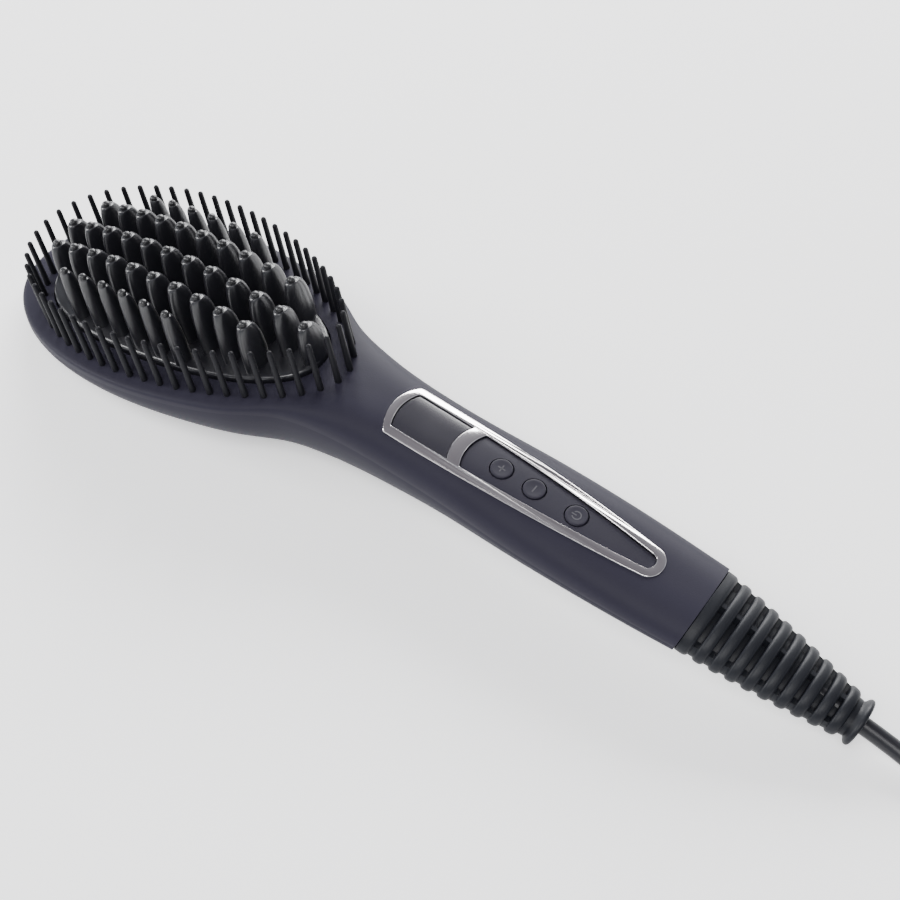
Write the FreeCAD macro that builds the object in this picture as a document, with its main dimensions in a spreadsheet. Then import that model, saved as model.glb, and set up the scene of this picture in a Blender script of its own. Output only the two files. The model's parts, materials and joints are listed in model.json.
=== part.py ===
"""Heated styling brush: a flat oval paddle head bent up from a slim handle.

The frame stands on the surface that the brush lies on, teeth up.  X runs from the head to the
tail, Y across, Z up, and the origin is on that surface below the middle of the tooth field.
All sizes are millimetres and degrees.
"""
import FreeCAD, Part
import math
import os
from types import SimpleNamespace
from FreeCAD import Placement, Rotation, Vector

doc = FreeCAD.newDocument("heated_brush")
sheet = doc.addObject("Spreadsheet::Sheet", "sizes")

SIZES = {
    # Paddle head, an egg whose wide end is the tip
    "deck_height": 18.9, "deck_tilt": 9.7,
    "head_half_length": 63.2, "head_half_width": 34.0, "head_centre": -1.9,
    "deck_edge": 3.2, "shell_wall": 2.2, "deck_wall": 2.2, "nose_radius": 3.0,
    # Handle behind the head, up to the seam of the cord sleeve
    "neck_start": 46.0, "handle_length": 123.5, "handle_half_width": 15.5, "handle_crest": 28.8,
    "end_wall": 2.5, "cut_overrun": 5.0,
    # Field of heated teeth on a raised plate
    "tooth_pitch": 8.3, "tooth_row_step": 10.2, "tooth_outer_row": 18.7,
    "tooth_height": 21.4, "tooth_crown_radius": 170.0, "tooth_crown_centre": -6.0,
    "outer_tooth_drop": 1.6, "tooth_thick": 3.7, "tooth_wide": 9.4, "outer_tooth_wide": 5.6,
    "tooth_top_radius": 1.65,
    "nub_radius": 1.1, "nub_height": 1.3,
    "plate_half_length": 50.4, "plate_half_width": 22.8, "plate_centre": -2.6,
    "plate_rise": 1.7, "plate_edge_round": 0.8, "plate_flange": 0.9, "flange_thick": 2.0,
    "plate_gap": 0.5,
    # Guard bristles round the plate, on a band under the deck
    "ring_half_length": 56.4, "ring_half_width": 29.5, "ring_centre": 0.3,
    "bristle_length": 16.4, "bristle_radius": 0.9, "bristle_tip_radius": 0.75,
    "bristle_hole_gap": 0.1, "band_half_width": 1.2, "band_thick": 1.5, "bay_margin": 0.7,
    # Heater stack below the plate
    "heater_length": 26.0, "heater_width": 12.0, "heater_thick": 3.0, "heater_gap": 4.0,
    "mica_thick": 0.5, "mica_margin": 1.0, "clamp_thick": 1.2, "clamp_margin": 4.5,
    "clamp_screw_radius": 1.2, "clamp_head_radius": 2.3, "clamp_head_height": 1.4,
    "clamp_post_radius": 2.4, "screw_gap": 0.05, "screw_bite": 1.6,
    "lug_radius": 2.6, "lug_thick": 1.4, "lug_place": 38.3,
    "fuse_radius": 1.7, "fuse_length": 11.0, "fuse_place": -37.2,
    # Control panel on the handle, and what lies under it
    "panel_place": 115.0, "panel_depth": 25.6, "panel_tilt": 3.9,
    "bezel_length": 85.0, "bezel_half_width": 9.1, "bezel_tail_half_width": 4.3,
    "bezel_rail": 2.5, "bezel_proud": 0.4, "bezel_bow": 3.2,
    "pocket_depth": 3.0, "pocket_gap": 0.15, "pocket_floor": 1.2,
    "display_length": 18.2, "crossbar": 4.0, "window_sink": 0.15, "window_thick": 1.5, "trim_gap": 0.1,
    "button_sheet_sink": 0.3, "button_sheet_thick": 1.2, "button_sheet_rim": 0.6,
    "button_radius": 3.1, "button_gap": 0.2, "button_proud": 0.25, "button_flange": 0.6,
    "button_flange_thick": 0.7, "button_travel": 0.5,
    "first_button": -7.0, "second_button": 3.3, "third_button": 16.4,
    "switch_side": 6.0, "switch_height": 3.0, "switch_lift": 0.3, "plunger_radius": 1.6,
    "plunger_gap": 0.05, "plunger_hole_gap": 0.4, "plunger_bite": 1.2,
    "board_length": 76.0, "board_half_width": 10.6, "board_thick": 1.6, "board_corner": 3.0,
    "board_post_radius": 2.1, "board_screw_radius": 0.9, "board_head_radius": 1.7,
    "board_head_height": 1.2, "board_post_inset": 3.2,
    "module_half_width": 5.2, "module_margin": 1.2,
    "triac_length": 10.0, "triac_width": 9.0, "triac_thick": 3.2,
    "capacitor_radius": 2.4, "capacitor_length": 12.0,
    # Housing screws from below
    "case_screw_radius": 1.3, "case_head_radius": 2.6, "case_head_height": 1.8,
    "case_boss_radius": 3.0, "case_bite": 5.0, "case_seat": 1.6,
    "neck_screw_place": 62.0, "neck_screw_side": 10.2, "tail_screw_place": 156.0, "tail_screw_side": 9.2,
    # Ribbed sleeve and the cord inside it
    "sleeve_droop": 11.3, "sleeve_length": 47.5, "sleeve_half_width": 13.5, "sleeve_half_height": 6.7,
    "sleeve_tip_half_width": 6.7, "sleeve_tip_half_height": 4.9, "collar_length": 3.0,
    "collar_half_width": 6.9, "collar_half_height": 5.7, "rib_depth": 0.9, "slot_bridge": 1.1,
    "sleeve_skin": 1.1, "throat_half_width": 7.4, "throat_half_height": 4.2, "throat_gap": 0.1,
    "sleeve_flange_half_width": 9.4, "sleeve_flange_half_height": 3.4, "sleeve_flange_thick": 1.8,
    "cord_radius": 2.4, "cord_gap": 0.05, "cord_inside": 7.5,
    # Wires inside
    "heater_wire_radius": 0.9, "sensor_wire_radius": 0.55,
    # Cord on the surface, its coil, tie and plug
    "route_unit": 1.0,
    "coil_centre_x": 296.0, "coil_centre_y": 9.0, "coil_inner_radius": 18.5, "coil_turn_gap": 0.7,
    "tie_width": 12.0, "tie_thick": 1.2, "tie_gap": 0.3,
    "plug_start_x": 333.0, "plug_start_y": -25.0, "plug_turn": 40.0,
    "plug_length": 34.0, "plug_half_width": 13.0, "plug_half_height": 7.6,
    "plug_tail_half_width": 6.0, "plug_tail_half_height": 5.0, "plug_sleeve": 18.0,
    "plug_sleeve_radius": 3.6, "plug_face_shrink": 1.5,
    "pin_radius": 2.0, "pin_length": 19.0, "pin_spacing": 18.6, "pin_root": 6.0,
}
for row, (alias, value) in enumerate(SIZES.items(), start=1):
    sheet.set(f"A{row}", alias.replace("_", " "))
    sheet.set(f"B{row}", str(value))
    sheet.setAlias(f"B{row}", alias)
doc.recompute()
S = SimpleNamespace(**{alias: float(sheet.get(alias)) for alias in SIZES})

X_AXIS, Y_AXIS, Z_AXIS = Vector(1, 0, 0), Vector(0, 1, 0), Vector(0, 0, 1)
nodes = {}


def keep(obj, label):
    """Name a finished piece; the label is also its file's name."""
    obj.Label = label
    nodes[label] = obj
    return obj


def keep_shape(label, shape, place=None):
    """A piece whose form has no primitive of its own."""
    obj = doc.addObject("Part::Feature", label)
    obj.Shape = shape
    if place is not None:
        obj.Placement = place
    return keep(obj, label)


def bind(obj, **cells):
    """Tie properties of a primitive to expressions on the sheet."""
    for prop, text in cells.items():
        obj.setExpression(prop, text)
    return obj


def cylinder(name, radius, height, place):
    obj = bind(doc.addObject("Part::Cylinder", name), Radius=radius, Height=height)
    obj.Placement = place
    return obj


def box(name, length, width, height, place):
    obj = bind(doc.addObject("Part::Box", name), Length=length, Width=width, Height=height)
    obj.Placement = place
    return obj


def bundle(name, parts):
    obj = doc.addObject("Part::Compound", name)
    obj.Links = list(parts)
    return obj


def placed(shape, place):
    copy = shape.copy()
    copy.Placement = place.multiply(copy.Placement)
    return copy


def prism(wire, low, high):
    """An outline in the local XY plane raised from one height to another."""
    solid = Part.Face(wire).extrude(Vector(0, 0, high - low))
    solid.translate(Vector(0, 0, low))
    return solid


def rod(radius, low, high, x=0.0, y=0.0):
    return Part.makeCylinder(radius, high - low, Vector(x, y, low))


def block(half_x, half_y, low, high, x=0.0, y=0.0):
    """Box about a local place."""
    return Part.makeBox(2 * half_x, 2 * half_y, high - low, Vector(x - half_x, y - half_y, low))


def closed_curve(points):
    curve = Part.BSplineCurve()
    curve.interpolate(points, PeriodicFlag=True)
    return Part.Wire(curve.toShape())


def ellipse_wire(half_x, half_y, z):
    """Ellipse about local Z; half_x and half_y may come in either order of size."""
    wide, narrow = max(half_x, half_y), min(half_x, half_y)
    curve = Part.Ellipse(Vector(0, 0, z), wide, narrow)
    if half_y > half_x:
        curve.rotate(Placement(Vector(0, 0, z), Rotation(Z_AXIS, 90)))
    return Part.Wire(curve.toShape())


def move(x, y, z):
    return Placement(Vector(x, y, z), Rotation())


# Outlines of the head, of the ring of bristles and of the plate
HEAD_EGG_SHARE = 0.136
RING_EGG_SHARE = 0.205
PLATE_EGG_SHARE = 0.16
PLATE_SQUARENESS = 2.3
OUTLINE_STEPS = 40
tilt = math.radians(S.deck_tilt)
tip_x = S.head_centre - S.head_half_length
seam_x = S.neck_start + S.handle_length
deck_place = Placement(Vector(0, 0, S.deck_height), Rotation(Y_AXIS, -S.deck_tilt))


def deck_z(x):
    return S.deck_height + x * math.tan(tilt)


def egg_half_width(x, inset=0.0):
    along = (x - S.head_centre) / (S.head_half_length - inset)
    return (S.head_half_width - inset) * math.sqrt(1 - along * along) * (1 - HEAD_EGG_SHARE * along)


def ring_point(angle, outset=0.0):
    """A place on the line of the bristles, or that far outside it."""
    along = math.cos(angle)
    across = math.sin(angle) * (1 - RING_EGG_SHARE * along)
    return Vector(S.ring_centre + (S.ring_half_length + outset) * along,
                  (S.ring_half_width + outset) * across, 0)


def ring_wire(outset):
    turn = 2 * math.pi / OUTLINE_STEPS
    return closed_curve([ring_point(step * turn, outset) for step in range(OUTLINE_STEPS)])


def plate_wire(margin):
    """Blunt oval of the heated plate, wider towards the tip."""
    points = []
    for step in range(OUTLINE_STEPS):
        angle = 2 * math.pi * step / OUTLINE_STEPS
        power = 2 / PLATE_SQUARENESS
        along = math.copysign(abs(math.cos(angle)) ** power, math.cos(angle))
        across = math.copysign(abs(math.sin(angle)) ** power, math.sin(angle))
        across *= 1 - PLATE_EGG_SHARE * along
        points.append(Vector(S.plate_centre + (S.plate_half_length + margin) * along,
                             (S.plate_half_width + margin) * across, 0))
    return closed_curve(points)


# Shell of head and handle, a loft through upright stations.
# Head rows: place along the head, depth of the belly below the side line, squareness of the top.
HEAD_STATION_SHARES = (
    (0.0008, 0.13, 2.2), (0.0034, 0.25, 2.4), (0.0125, 0.43, 3.0), (0.0273, 0.59, 4.0),
    (0.0557, 0.77, 6.0), (0.105, 0.91, 7.0), (0.175, 0.985, 8.0), (0.285, 1.02, 8.0),
    (0.435, 1.03, 8.0), (0.61, 1.01, 8.0), (0.785, 1.0, 7.0), (0.902, 0.99, 6.0),
)
# Handle rows: place along the handle, half width, then top, side line and bottom as shares of the
# crest height, and squareness of the top.
HANDLE_STATION_SHARES = (
    (0.0, 1.25, 0.93, 0.77, 0.018, 4.6), (0.078, 1.06, 0.979, 0.748, 0.034, 3.6),
    (0.172, 0.945, 1.0, 0.708, 0.068, 3.0), (0.281, 0.9, 0.983, 0.67, 0.12, 2.8),
    (0.406, 0.9, 0.955, 0.642, 0.19, 2.8), (0.5625, 0.955, 0.91, 0.611, 0.262, 2.8),
    (0.719, 0.97, 0.855, 0.583, 0.3, 2.8), (0.859, 0.945, 0.8, 0.559, 0.31, 2.7),
    (1.0, 0.885, 0.76, 0.534, 0.31, 2.5), (1.05, 0.86, 0.746, 0.526, 0.31, 2.5),
)
BELLY_SQUARENESS = 2.3
SECTION_STEPS = 16
CAVITY_FIRST_ROW = 6


def head_side_z(x):
    return deck_z(x) - S.deck_edge


def stations(inset):
    """Rows of x, half width, top, side line, bottom and squareness, drawn in by a wall."""
    rows = []
    head_length = S.neck_start - tip_x
    for place, belly, square in HEAD_STATION_SHARES:
        x = tip_x + inset + place * (head_length - inset)
        side = head_side_z(x)
        nose = max(0.0, 1 - (x - tip_x - inset) / S.nose_radius)
        edge = (S.deck_edge - inset) * math.sqrt(1 - nose * nose)
        bottom = side - belly * (side - inset)
        rows.append((x, egg_half_width(x, inset), side + edge, side, bottom, square))
    for place, half, top, side, bottom, square in HANDLE_STATION_SHARES:
        rows.append((S.neck_start + place * S.handle_length, half * S.handle_half_width - inset,
                     top * S.handle_crest - inset, side * S.handle_crest,
                     bottom * S.handle_crest + inset, square))
    return rows


def half_section(x, half, side, height, square):
    """One half of a station, anticlockwise seen from the tail."""
    points = []
    turn = math.copysign(1, height)
    for step in range(SECTION_STEPS + 1):
        angle = math.pi * step / SECTION_STEPS
        power = 2 / square
        across = math.copysign(abs(math.cos(angle)) ** power, math.cos(angle))
        rise = 0.0 if step in (0, SECTION_STEPS) else math.sin(angle) ** power
        points.append(Vector(x, turn * half * across, side + height * rise))
    curve = Part.BSplineCurve()
    curve.interpolate(points)
    return curve.toShape()


UPPER, LOWER = 1, -1


def half_curve(row, half_side):
    x, half, top, side, bottom, square = row
    if half_side == UPPER:
        return half_section(x, half, side, top - side, square)
    return half_section(x, half, side, bottom - side, BELLY_SQUARENESS)


def solid_wire(row, half_side):
    """One half of a station closed along the side line, where the two housings meet."""
    x, half, top, side, bottom, square = row
    chord = Part.LineSegment(Vector(x, -half, side), Vector(x, half, side)).toShape()
    return Part.Wire([half_curve(row, half_side), chord])


def hollow_wire(row, half_side):
    """One half of a drawn-in station, carried on past the side line."""
    x, half, top, side, bottom, square = row
    past = Vector(0, 0, -half_side * S.cut_overrun)
    left, right = Vector(x, -half, side), Vector(x, half, side)
    legs = Part.makePolygon([left, left + past, right + past, right])
    return Part.Wire([half_curve(row, half_side)] + legs.Edges)


def housing_form(half_side):
    """Outside form of one housing."""
    return Part.makeLoft([solid_wire(row, half_side) for row in stations(0.0)], True, False)


def hollow_form(half_side):
    rows = stations(S.shell_wall)[CAVITY_FIRST_ROW:]
    return Part.makeLoft([hollow_wire(row, half_side) for row in rows], True, False)


outer_rows = stations(0.0)


def outer_value(x, column):
    """A station value between rows, read along a straight line."""
    for low, high in zip(outer_rows, outer_rows[1:]):
        if low[0] <= x <= high[0]:
            part = (x - low[0]) / (high[0] - low[0])
            return low[column] + part * (high[column] - low[column])
    raise ValueError("place is off the shell")


SIDE = 3
reach = S.head_half_length + S.handle_length + S.sleeve_length
seam_place = Placement(Vector(seam_x, 0, outer_value(seam_x, SIDE)), Rotation(Y_AXIS, 90 + S.sleeve_droop))
beyond_seam = placed(block(reach, reach, 0.0, reach), seam_place)
beyond_wall = placed(beyond_seam, seam_place.multiply(move(0, 0, -S.end_wall)).multiply(seam_place.inverse()))
below_floor = block(reach, reach, -reach, 0.0)
upper_form = housing_form(UPPER).cut(beyond_seam)
lower_form = housing_form(LOWER).cut(beyond_seam).cut(below_floor)
upper_hollow = hollow_form(UPPER).cut(beyond_wall)
lower_hollow = hollow_form(LOWER).cut(beyond_wall)

# Teeth in five staggered rows; the outer rows are rounder and lower
CENTRE_ROW_COUNT, MIDDLE_ROW_COUNT, OUTER_ROW_COUNT = 12, 10, 6
CENTRE_ROW_MIDDLE_SHARE, MIDDLE_ROW_MIDDLE_SHARE, OUTER_ROW_MIDDLE_SHARE = 0.0, -0.5, -1.0
TOOTH_WAIST_SHARE, TOOTH_WAIST_WIDTH_SHARE = 0.6, 0.92


def tooth_places():
    """Local x, y, height and width of every tooth."""
    rows = ((0.0, CENTRE_ROW_COUNT, CENTRE_ROW_MIDDLE_SHARE, 0.0, S.tooth_wide),
            (S.tooth_row_step, MIDDLE_ROW_COUNT, MIDDLE_ROW_MIDDLE_SHARE, 0.0, S.tooth_wide),
            (S.tooth_outer_row, OUTER_ROW_COUNT, OUTER_ROW_MIDDLE_SHARE, S.outer_tooth_drop,
             S.outer_tooth_wide))
    places = []
    for side, count, middle, drop, wide in rows:
        for y in ((side, -side) if side else (side,)):
            for index in range(count):
                x = S.tooth_pitch * (index - (count - 1) / 2 + middle)
                away = x - S.tooth_crown_centre
                places.append((x, y, S.tooth_height - drop - away * away / (2 * S.tooth_crown_radius), wide))
    return places


def tooth_solid(x, y, height, wide):
    """Oval blade across the brush that swells and closes to a round top."""
    low = S.plate_rise
    waist = low + TOOTH_WAIST_SHARE * (height - low)
    thick = S.tooth_thick / 2
    waist_wide = S.tooth_top_radius + TOOTH_WAIST_WIDTH_SHARE * (wide / 2 - S.tooth_top_radius)
    waist_thick = (thick + S.tooth_top_radius) / 2
    wires = [ellipse_wire(thick, wide / 2, low), ellipse_wire(waist_thick, waist_wide, waist),
             ellipse_wire(S.tooth_top_radius, S.tooth_top_radius, height)]
    solid = Part.makeLoft(wires, True, False)
    solid.translate(Vector(x, y, 0))
    return solid


# Heated plate through the deck, its flange against the deck from below
flange_low = -S.deck_wall - S.flange_thick
HEATER_COUNT = 2
heater_low = flange_low - S.heater_thick
mica_low = heater_low - S.mica_thick
clamp_low = mica_low - S.clamp_thick
heater_run = HEATER_COUNT * S.heater_length + S.heater_gap
clamp_reach = heater_run / 2 + S.clamp_margin
post_places = (-clamp_reach, clamp_reach)
slab = prism(plate_wire(0.0), flange_low, S.plate_rise)
rim = [edge for edge in slab.Edges if edge.BoundBox.ZMin > S.plate_rise - S.plate_edge_round]
slab = slab.makeFillet(S.plate_edge_round, rim)
plate = slab.fuse(prism(plate_wire(S.plate_flange), flange_low, -S.deck_wall))
plate = plate.multiFuse([rod(S.clamp_post_radius, mica_low, flange_low, x) for x in post_places])
pilots = [rod(S.clamp_screw_radius + S.screw_gap, mica_low, flange_low + S.screw_bite, x)
          for x in post_places]
pilots.append(rod(S.clamp_screw_radius + S.screw_gap, flange_low, flange_low + S.screw_bite, S.lug_place))
plate = plate.cut(Part.makeCompound(pilots))
keep_shape("heater_plate", plate, deck_place)
teeth = Part.makeCompound([tooth_solid(*place) for place in tooth_places()])
keep_shape("plate_teeth", teeth, deck_place)

NUB_STEM_SHARE, NUB_CROWN_SHARE = 0.6, 0.6


def nub_solid(x, y, height, wide):
    """Round tip that stands on the flat top of a tooth."""
    stem_height = NUB_STEM_SHARE * S.nub_height
    stem = Part.makeCylinder(S.nub_radius, stem_height, Vector(x, y, height))
    crown = Part.makeCone(S.nub_radius, NUB_CROWN_SHARE * S.nub_radius, S.nub_height - stem_height,
                          Vector(x, y, height + stem_height))
    return stem.fuse(crown)


keep_shape("tooth_tips", Part.makeCompound([nub_solid(*place) for place in tooth_places()]), deck_place)

# Guard bristles at an even step round the egg
BRISTLE_COUNT = 52
MEASURE_STEPS = 1440


def bristle_points():
    turn = 2 * math.pi / MEASURE_STEPS
    fine = [ring_point(step * turn) for step in range(MEASURE_STEPS + 1)]
    runs = [0.0]
    for a, b in zip(fine, fine[1:]):
        runs.append(runs[-1] + a.distanceToPoint(b))
    points = []
    for index in range(BRISTLE_COUNT):
        goal = runs[-1] * (index + 0.5) / BRISTLE_COUNT
        step = next(i for i, run in enumerate(runs) if run >= goal)
        points.append(fine[step])
    return points


def bristle_solid(point):
    height = S.deck_wall + S.bristle_length - S.bristle_tip_radius
    cone = Part.makeCone(S.bristle_radius, S.bristle_tip_radius, height, point + Vector(0, 0, -S.deck_wall))
    tip = Part.makeSphere(S.bristle_tip_radius, point + Vector(0, 0, height - S.deck_wall))
    return cone.fuse(tip)


bristle_places = bristle_points()
band_low = -S.deck_wall - S.band_thick
band = prism(ring_wire(S.band_half_width), band_low, -S.deck_wall)
band = band.cut(prism(ring_wire(-S.band_half_width), band_low, -S.deck_wall))
keep_shape("bristle_band", band, deck_place)
bristles = Part.makeCompound([bristle_solid(point) for point in bristle_places])
keep_shape("guard_bristles", bristles, deck_place)

# Heater stack: two ceramic bars, an insulating sheet and a sprung clamp with its screws
bars = []
for index, side in enumerate((-1, 1)):
    start = side * (S.heater_gap + S.heater_length) / 2 - S.heater_length / 2
    bars.append(box(f"heater_bar_{index}", "sizes.heater_length", "sizes.heater_width", "sizes.heater_thick",
                    deck_place.multiply(move(start, -S.heater_width / 2, heater_low))))
keep(bundle("heater_bars", bars), "ptc_heater")
keep(box("mica_box", "2 * sizes.heater_length + sizes.heater_gap + 2 * sizes.mica_margin",
         "sizes.heater_width + 2 * sizes.mica_margin", "sizes.mica_thick",
         deck_place.multiply(move(-heater_run / 2 - S.mica_margin, -S.heater_width / 2 - S.mica_margin,
                                  mica_low))),
     "insulation_sheet")
clamp_half = clamp_reach + S.clamp_post_radius
clamp = block(clamp_half, S.heater_width / 2, clamp_low, mica_low)
clamp = clamp.cut(Part.makeCompound([rod(S.clamp_screw_radius + S.plate_gap, clamp_low, mica_low, x)
                                     for x in post_places]))
keep_shape("heater_clamp", clamp, deck_place)
screw_reach = S.clamp_thick + S.heater_thick + S.mica_thick
clamp_screws = [rod(S.clamp_head_radius, clamp_low - S.clamp_head_height, clamp_low, x).fuse(
    rod(S.clamp_screw_radius, clamp_low, clamp_low + screw_reach, x)) for x in post_places]
keep_shape("heater_clamp_screws", Part.makeCompound(clamp_screws), deck_place)
lug = rod(S.lug_radius, flange_low - S.lug_thick, flange_low, S.lug_place)
lug = lug.cut(rod(S.clamp_screw_radius + S.plate_gap, flange_low - S.lug_thick, flange_low, S.lug_place))
keep_shape("thermistor", lug, deck_place)
lug_low = flange_low - S.lug_thick
lug_screw = rod(S.clamp_head_radius, lug_low - S.clamp_head_height, lug_low, S.lug_place).fuse(
    rod(S.clamp_screw_radius, lug_low, flange_low + S.screw_bite / 2, S.lug_place))
keep_shape("thermistor_screw", lug_screw, deck_place)
fuse_axis = flange_low - S.fuse_radius
fuse_start = Vector(S.fuse_place, -S.fuse_length / 2, fuse_axis)
fuse_can = Part.makeCylinder(S.fuse_radius, S.fuse_length, fuse_start, Y_AXIS)
keep_shape("thermal_fuse", fuse_can, deck_place)

# Control panel: outline with a bowed head end, tapering rails and a round tail
panel_place = Placement(Vector(S.panel_place, 0, S.panel_depth), Rotation(Y_AXIS, S.panel_tilt))
panel_head, panel_tail = -S.bezel_length / 2, S.bezel_length / 2
display_start = panel_head + S.bezel_rail + S.bezel_bow / 2
display_end = display_start + S.display_length
buttons_start = display_end + S.crossbar
buttons_end = panel_tail - S.bezel_rail
RAIL_CURVE_SHARE = 2.4
RAIL_STEPS = 8
button_places = {"plus": S.first_button, "minus": S.second_button, "power": S.third_button}


def rail_half(place, inset):
    share = (place - panel_head) / S.bezel_length
    narrowing = share ** RAIL_CURVE_SHARE if share > 0 else 0.0
    return S.bezel_half_width + narrowing * (S.bezel_tail_half_width - S.bezel_half_width) - inset


def panel_wire(start, end, inset, bow, round_tail):
    """Outline between two places, drawn in from the rails; the head end bows towards the head."""
    tail_place = end - rail_half(end, inset) if round_tail else end
    bulge = end if round_tail else end - bow
    places = [start + (tail_place - start) * step / RAIL_STEPS for step in range(RAIL_STEPS + 1)]
    far = [Vector(place, rail_half(place, inset), 0) for place in places]
    near = [Vector(point.x, -point.y, 0) for point in reversed(far)]
    rails = []
    for points in (far, near):
        rail = Part.BSplineCurve()
        rail.interpolate(points)
        rails.append(rail)
    edges = [Part.Arc(near[-1], Vector(start - bow, 0, 0), far[0]), rails[0],
             Part.Arc(far[-1], Vector(bulge, 0, 0), near[0]), rails[1]]
    return Part.Wire([edge.toShape() for edge in edges])


def skin(lift):
    """The outside form of the shell, raised or sunk."""
    return placed(upper_form, move(0, 0, lift))


def panel_piece(wire, low, lift):
    """A prism square to the panel whose top follows the skin."""
    high = S.pocket_depth + S.cut_overrun
    return placed(prism(wire, low, high), panel_place).common(skin(lift))


bezel_start = panel_head + S.bezel_bow
bezel_outline = panel_wire(bezel_start, panel_tail, 0.0, S.bezel_bow, True)
display_wire = panel_wire(display_start, display_end, S.bezel_rail, S.bezel_bow / 2, False)
buttons_wire = panel_wire(buttons_start, buttons_end, S.bezel_rail, S.bezel_bow / 2, True)
pocket_low = -S.pocket_depth
panel_top = S.pocket_depth + S.cut_overrun
windows = placed(prism(display_wire, pocket_low, panel_top), panel_place).fuse(
    placed(prism(buttons_wire, pocket_low, panel_top), panel_place))
keep_shape("bezel_frame", panel_piece(bezel_outline, pocket_low, S.bezel_proud).cut(windows))
lens_wire = panel_wire(display_start + S.trim_gap, display_end - S.trim_gap, S.bezel_rail + S.trim_gap,
                       S.bezel_bow / 2, False)
keep_shape("display_window", panel_piece(lens_wire, -S.window_thick, -S.window_sink))
sheet_wire = panel_wire(buttons_start + S.trim_gap, buttons_end - S.trim_gap, S.bezel_rail + S.trim_gap,
                        S.bezel_bow / 2, True)
rim_inset = S.trim_gap + S.button_sheet_rim
rim_wire = panel_wire(buttons_start + rim_inset, buttons_end - rim_inset, S.bezel_rail + rim_inset,
                      S.bezel_bow / 2, True)
button_sheet = panel_piece(sheet_wire, pocket_low, -S.button_sheet_sink)
button_sheet = button_sheet.cut(placed(prism(rim_wire, pocket_low, -S.button_sheet_thick), panel_place))
button_holes = Part.makeCompound([rod(S.button_radius + S.button_gap, pocket_low, panel_top, x)
                                  for x in button_places.values()])
keep_shape("button_panel", button_sheet.cut(placed(button_holes, panel_place)))

# Push buttons held by a flange under the panel, each on the plunger of a switch
flange_top = -S.button_sheet_thick - S.screw_gap
button_low = flange_top - S.button_flange_thick
switch_top = pocket_low - S.pocket_floor - S.switch_lift
board_top = switch_top - S.switch_height
board_low = board_top - S.board_thick
plunger_low = switch_top - S.plunger_bite
for name, x in button_places.items():
    cap = placed(rod(S.button_radius, button_low, panel_top, x), panel_place).common(
        skin(S.button_proud - S.button_sheet_sink))
    cap = cap.fuse(placed(rod(S.button_radius + S.button_flange, button_low, flange_top, x), panel_place))
    keep_shape(f"{name}_button", cap)
    keep(cylinder(f"{name}_rod", "sizes.plunger_radius",
                  "sizes.pocket_depth - sizes.button_sheet_thick - sizes.screw_gap - sizes.button_flange_thick"
                  " + sizes.pocket_floor + sizes.switch_lift + sizes.plunger_bite",
                  panel_place.multiply(move(x, 0, plunger_low))), f"{name}_plunger")
    switch = block(S.switch_side / 2, S.switch_side / 2, board_top, switch_top, x)
    well = rod(S.plunger_radius + S.plunger_gap, plunger_low - S.button_travel - S.switch_lift, switch_top, x)
    keep_shape(f"{name}_switch", switch.cut(well), panel_place)

# Control board on posts of the upper housing, with its parts
board_head = panel_head + S.module_margin
board_tail = board_head + S.board_length
post_spots = [(x, y) for x in (board_head + S.board_post_inset, board_tail - S.board_post_inset)
              for y in (S.board_half_width - S.board_post_inset, S.board_post_inset - S.board_half_width)]
board = Part.makeBox(S.board_length, 2 * S.board_half_width, S.board_thick,
                     Vector(board_head, -S.board_half_width, board_low))
board_edges = [edge for edge in board.Edges if abs(edge.tangentAt(edge.FirstParameter).z) > 1 / 2]
board = board.makeFillet(S.board_corner, board_edges)
board = board.cut(Part.makeCompound([rod(S.board_screw_radius + S.plunger_gap, board_low, board_top, x, y)
                                     for x, y in post_spots]))
keep_shape("control_board", board, panel_place)
board_screws = [rod(S.board_head_radius, board_low - S.board_head_height, board_low, x, y).fuse(
    rod(S.board_screw_radius, board_low, board_top + S.screw_bite, x, y)) for x, y in post_spots]
keep_shape("board_screws", Part.makeCompound(board_screws), panel_place)
module_low = board_top
module_high = -S.window_thick - S.trim_gap
module_half = (S.display_length - 2 * S.module_margin) / 2
module_middle = (display_start + display_end) / 2 - S.bezel_bow / 4
module = block(module_half, S.module_half_width, module_low, module_high, module_middle)
keep_shape("display_module", module, panel_place)
TRIAC_PLACE_SHARE, CAPACITOR_PLACE_SHARE = 0.2, -0.2
keep(box("triac_box", "sizes.triac_length", "sizes.triac_width", "sizes.triac_thick",
         panel_place.multiply(move(TRIAC_PLACE_SHARE * S.board_length, -S.triac_width / 2,
                                   board_low - S.triac_thick))), "triac")
capacitor_place = panel_place.multiply(Placement(
    Vector(CAPACITOR_PLACE_SHARE * S.board_length, 0, board_low - S.capacitor_radius), Rotation(Y_AXIS, 90)))
keep(cylinder("capacitor_can", "sizes.capacitor_radius", "sizes.capacitor_length", capacitor_place),
     "capacitor")

# Bosses for the four screws that close the housing from below
screw_spots = [(x, y) for x, half in ((S.neck_screw_place, S.neck_screw_side),
                                     (S.tail_screw_place, S.tail_screw_side))
               for y in (half, -half)]
bosses, boss_holes, head_holes, case_screws = [], [], [], []
for x, y in screw_spots:
    side = outer_value(x, SIDE)
    seat = side - S.case_seat
    bosses.append(rod(S.case_boss_radius, 0.0, S.handle_crest, x, y))
    boss_holes.append(rod(S.case_screw_radius + S.screw_gap, seat - S.cut_overrun,
                          side + S.case_bite + S.screw_gap, x, y))
    head_holes.append(rod(S.case_head_radius + S.pocket_gap, -S.cut_overrun, seat, x, y))
    case_screws.append(rod(S.case_head_radius, seat - S.case_head_height, seat, x, y).fuse(
        rod(S.case_screw_radius, seat, side + S.case_bite, x, y)))
keep_shape("housing_screws", Part.makeCompound(case_screws))

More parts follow.
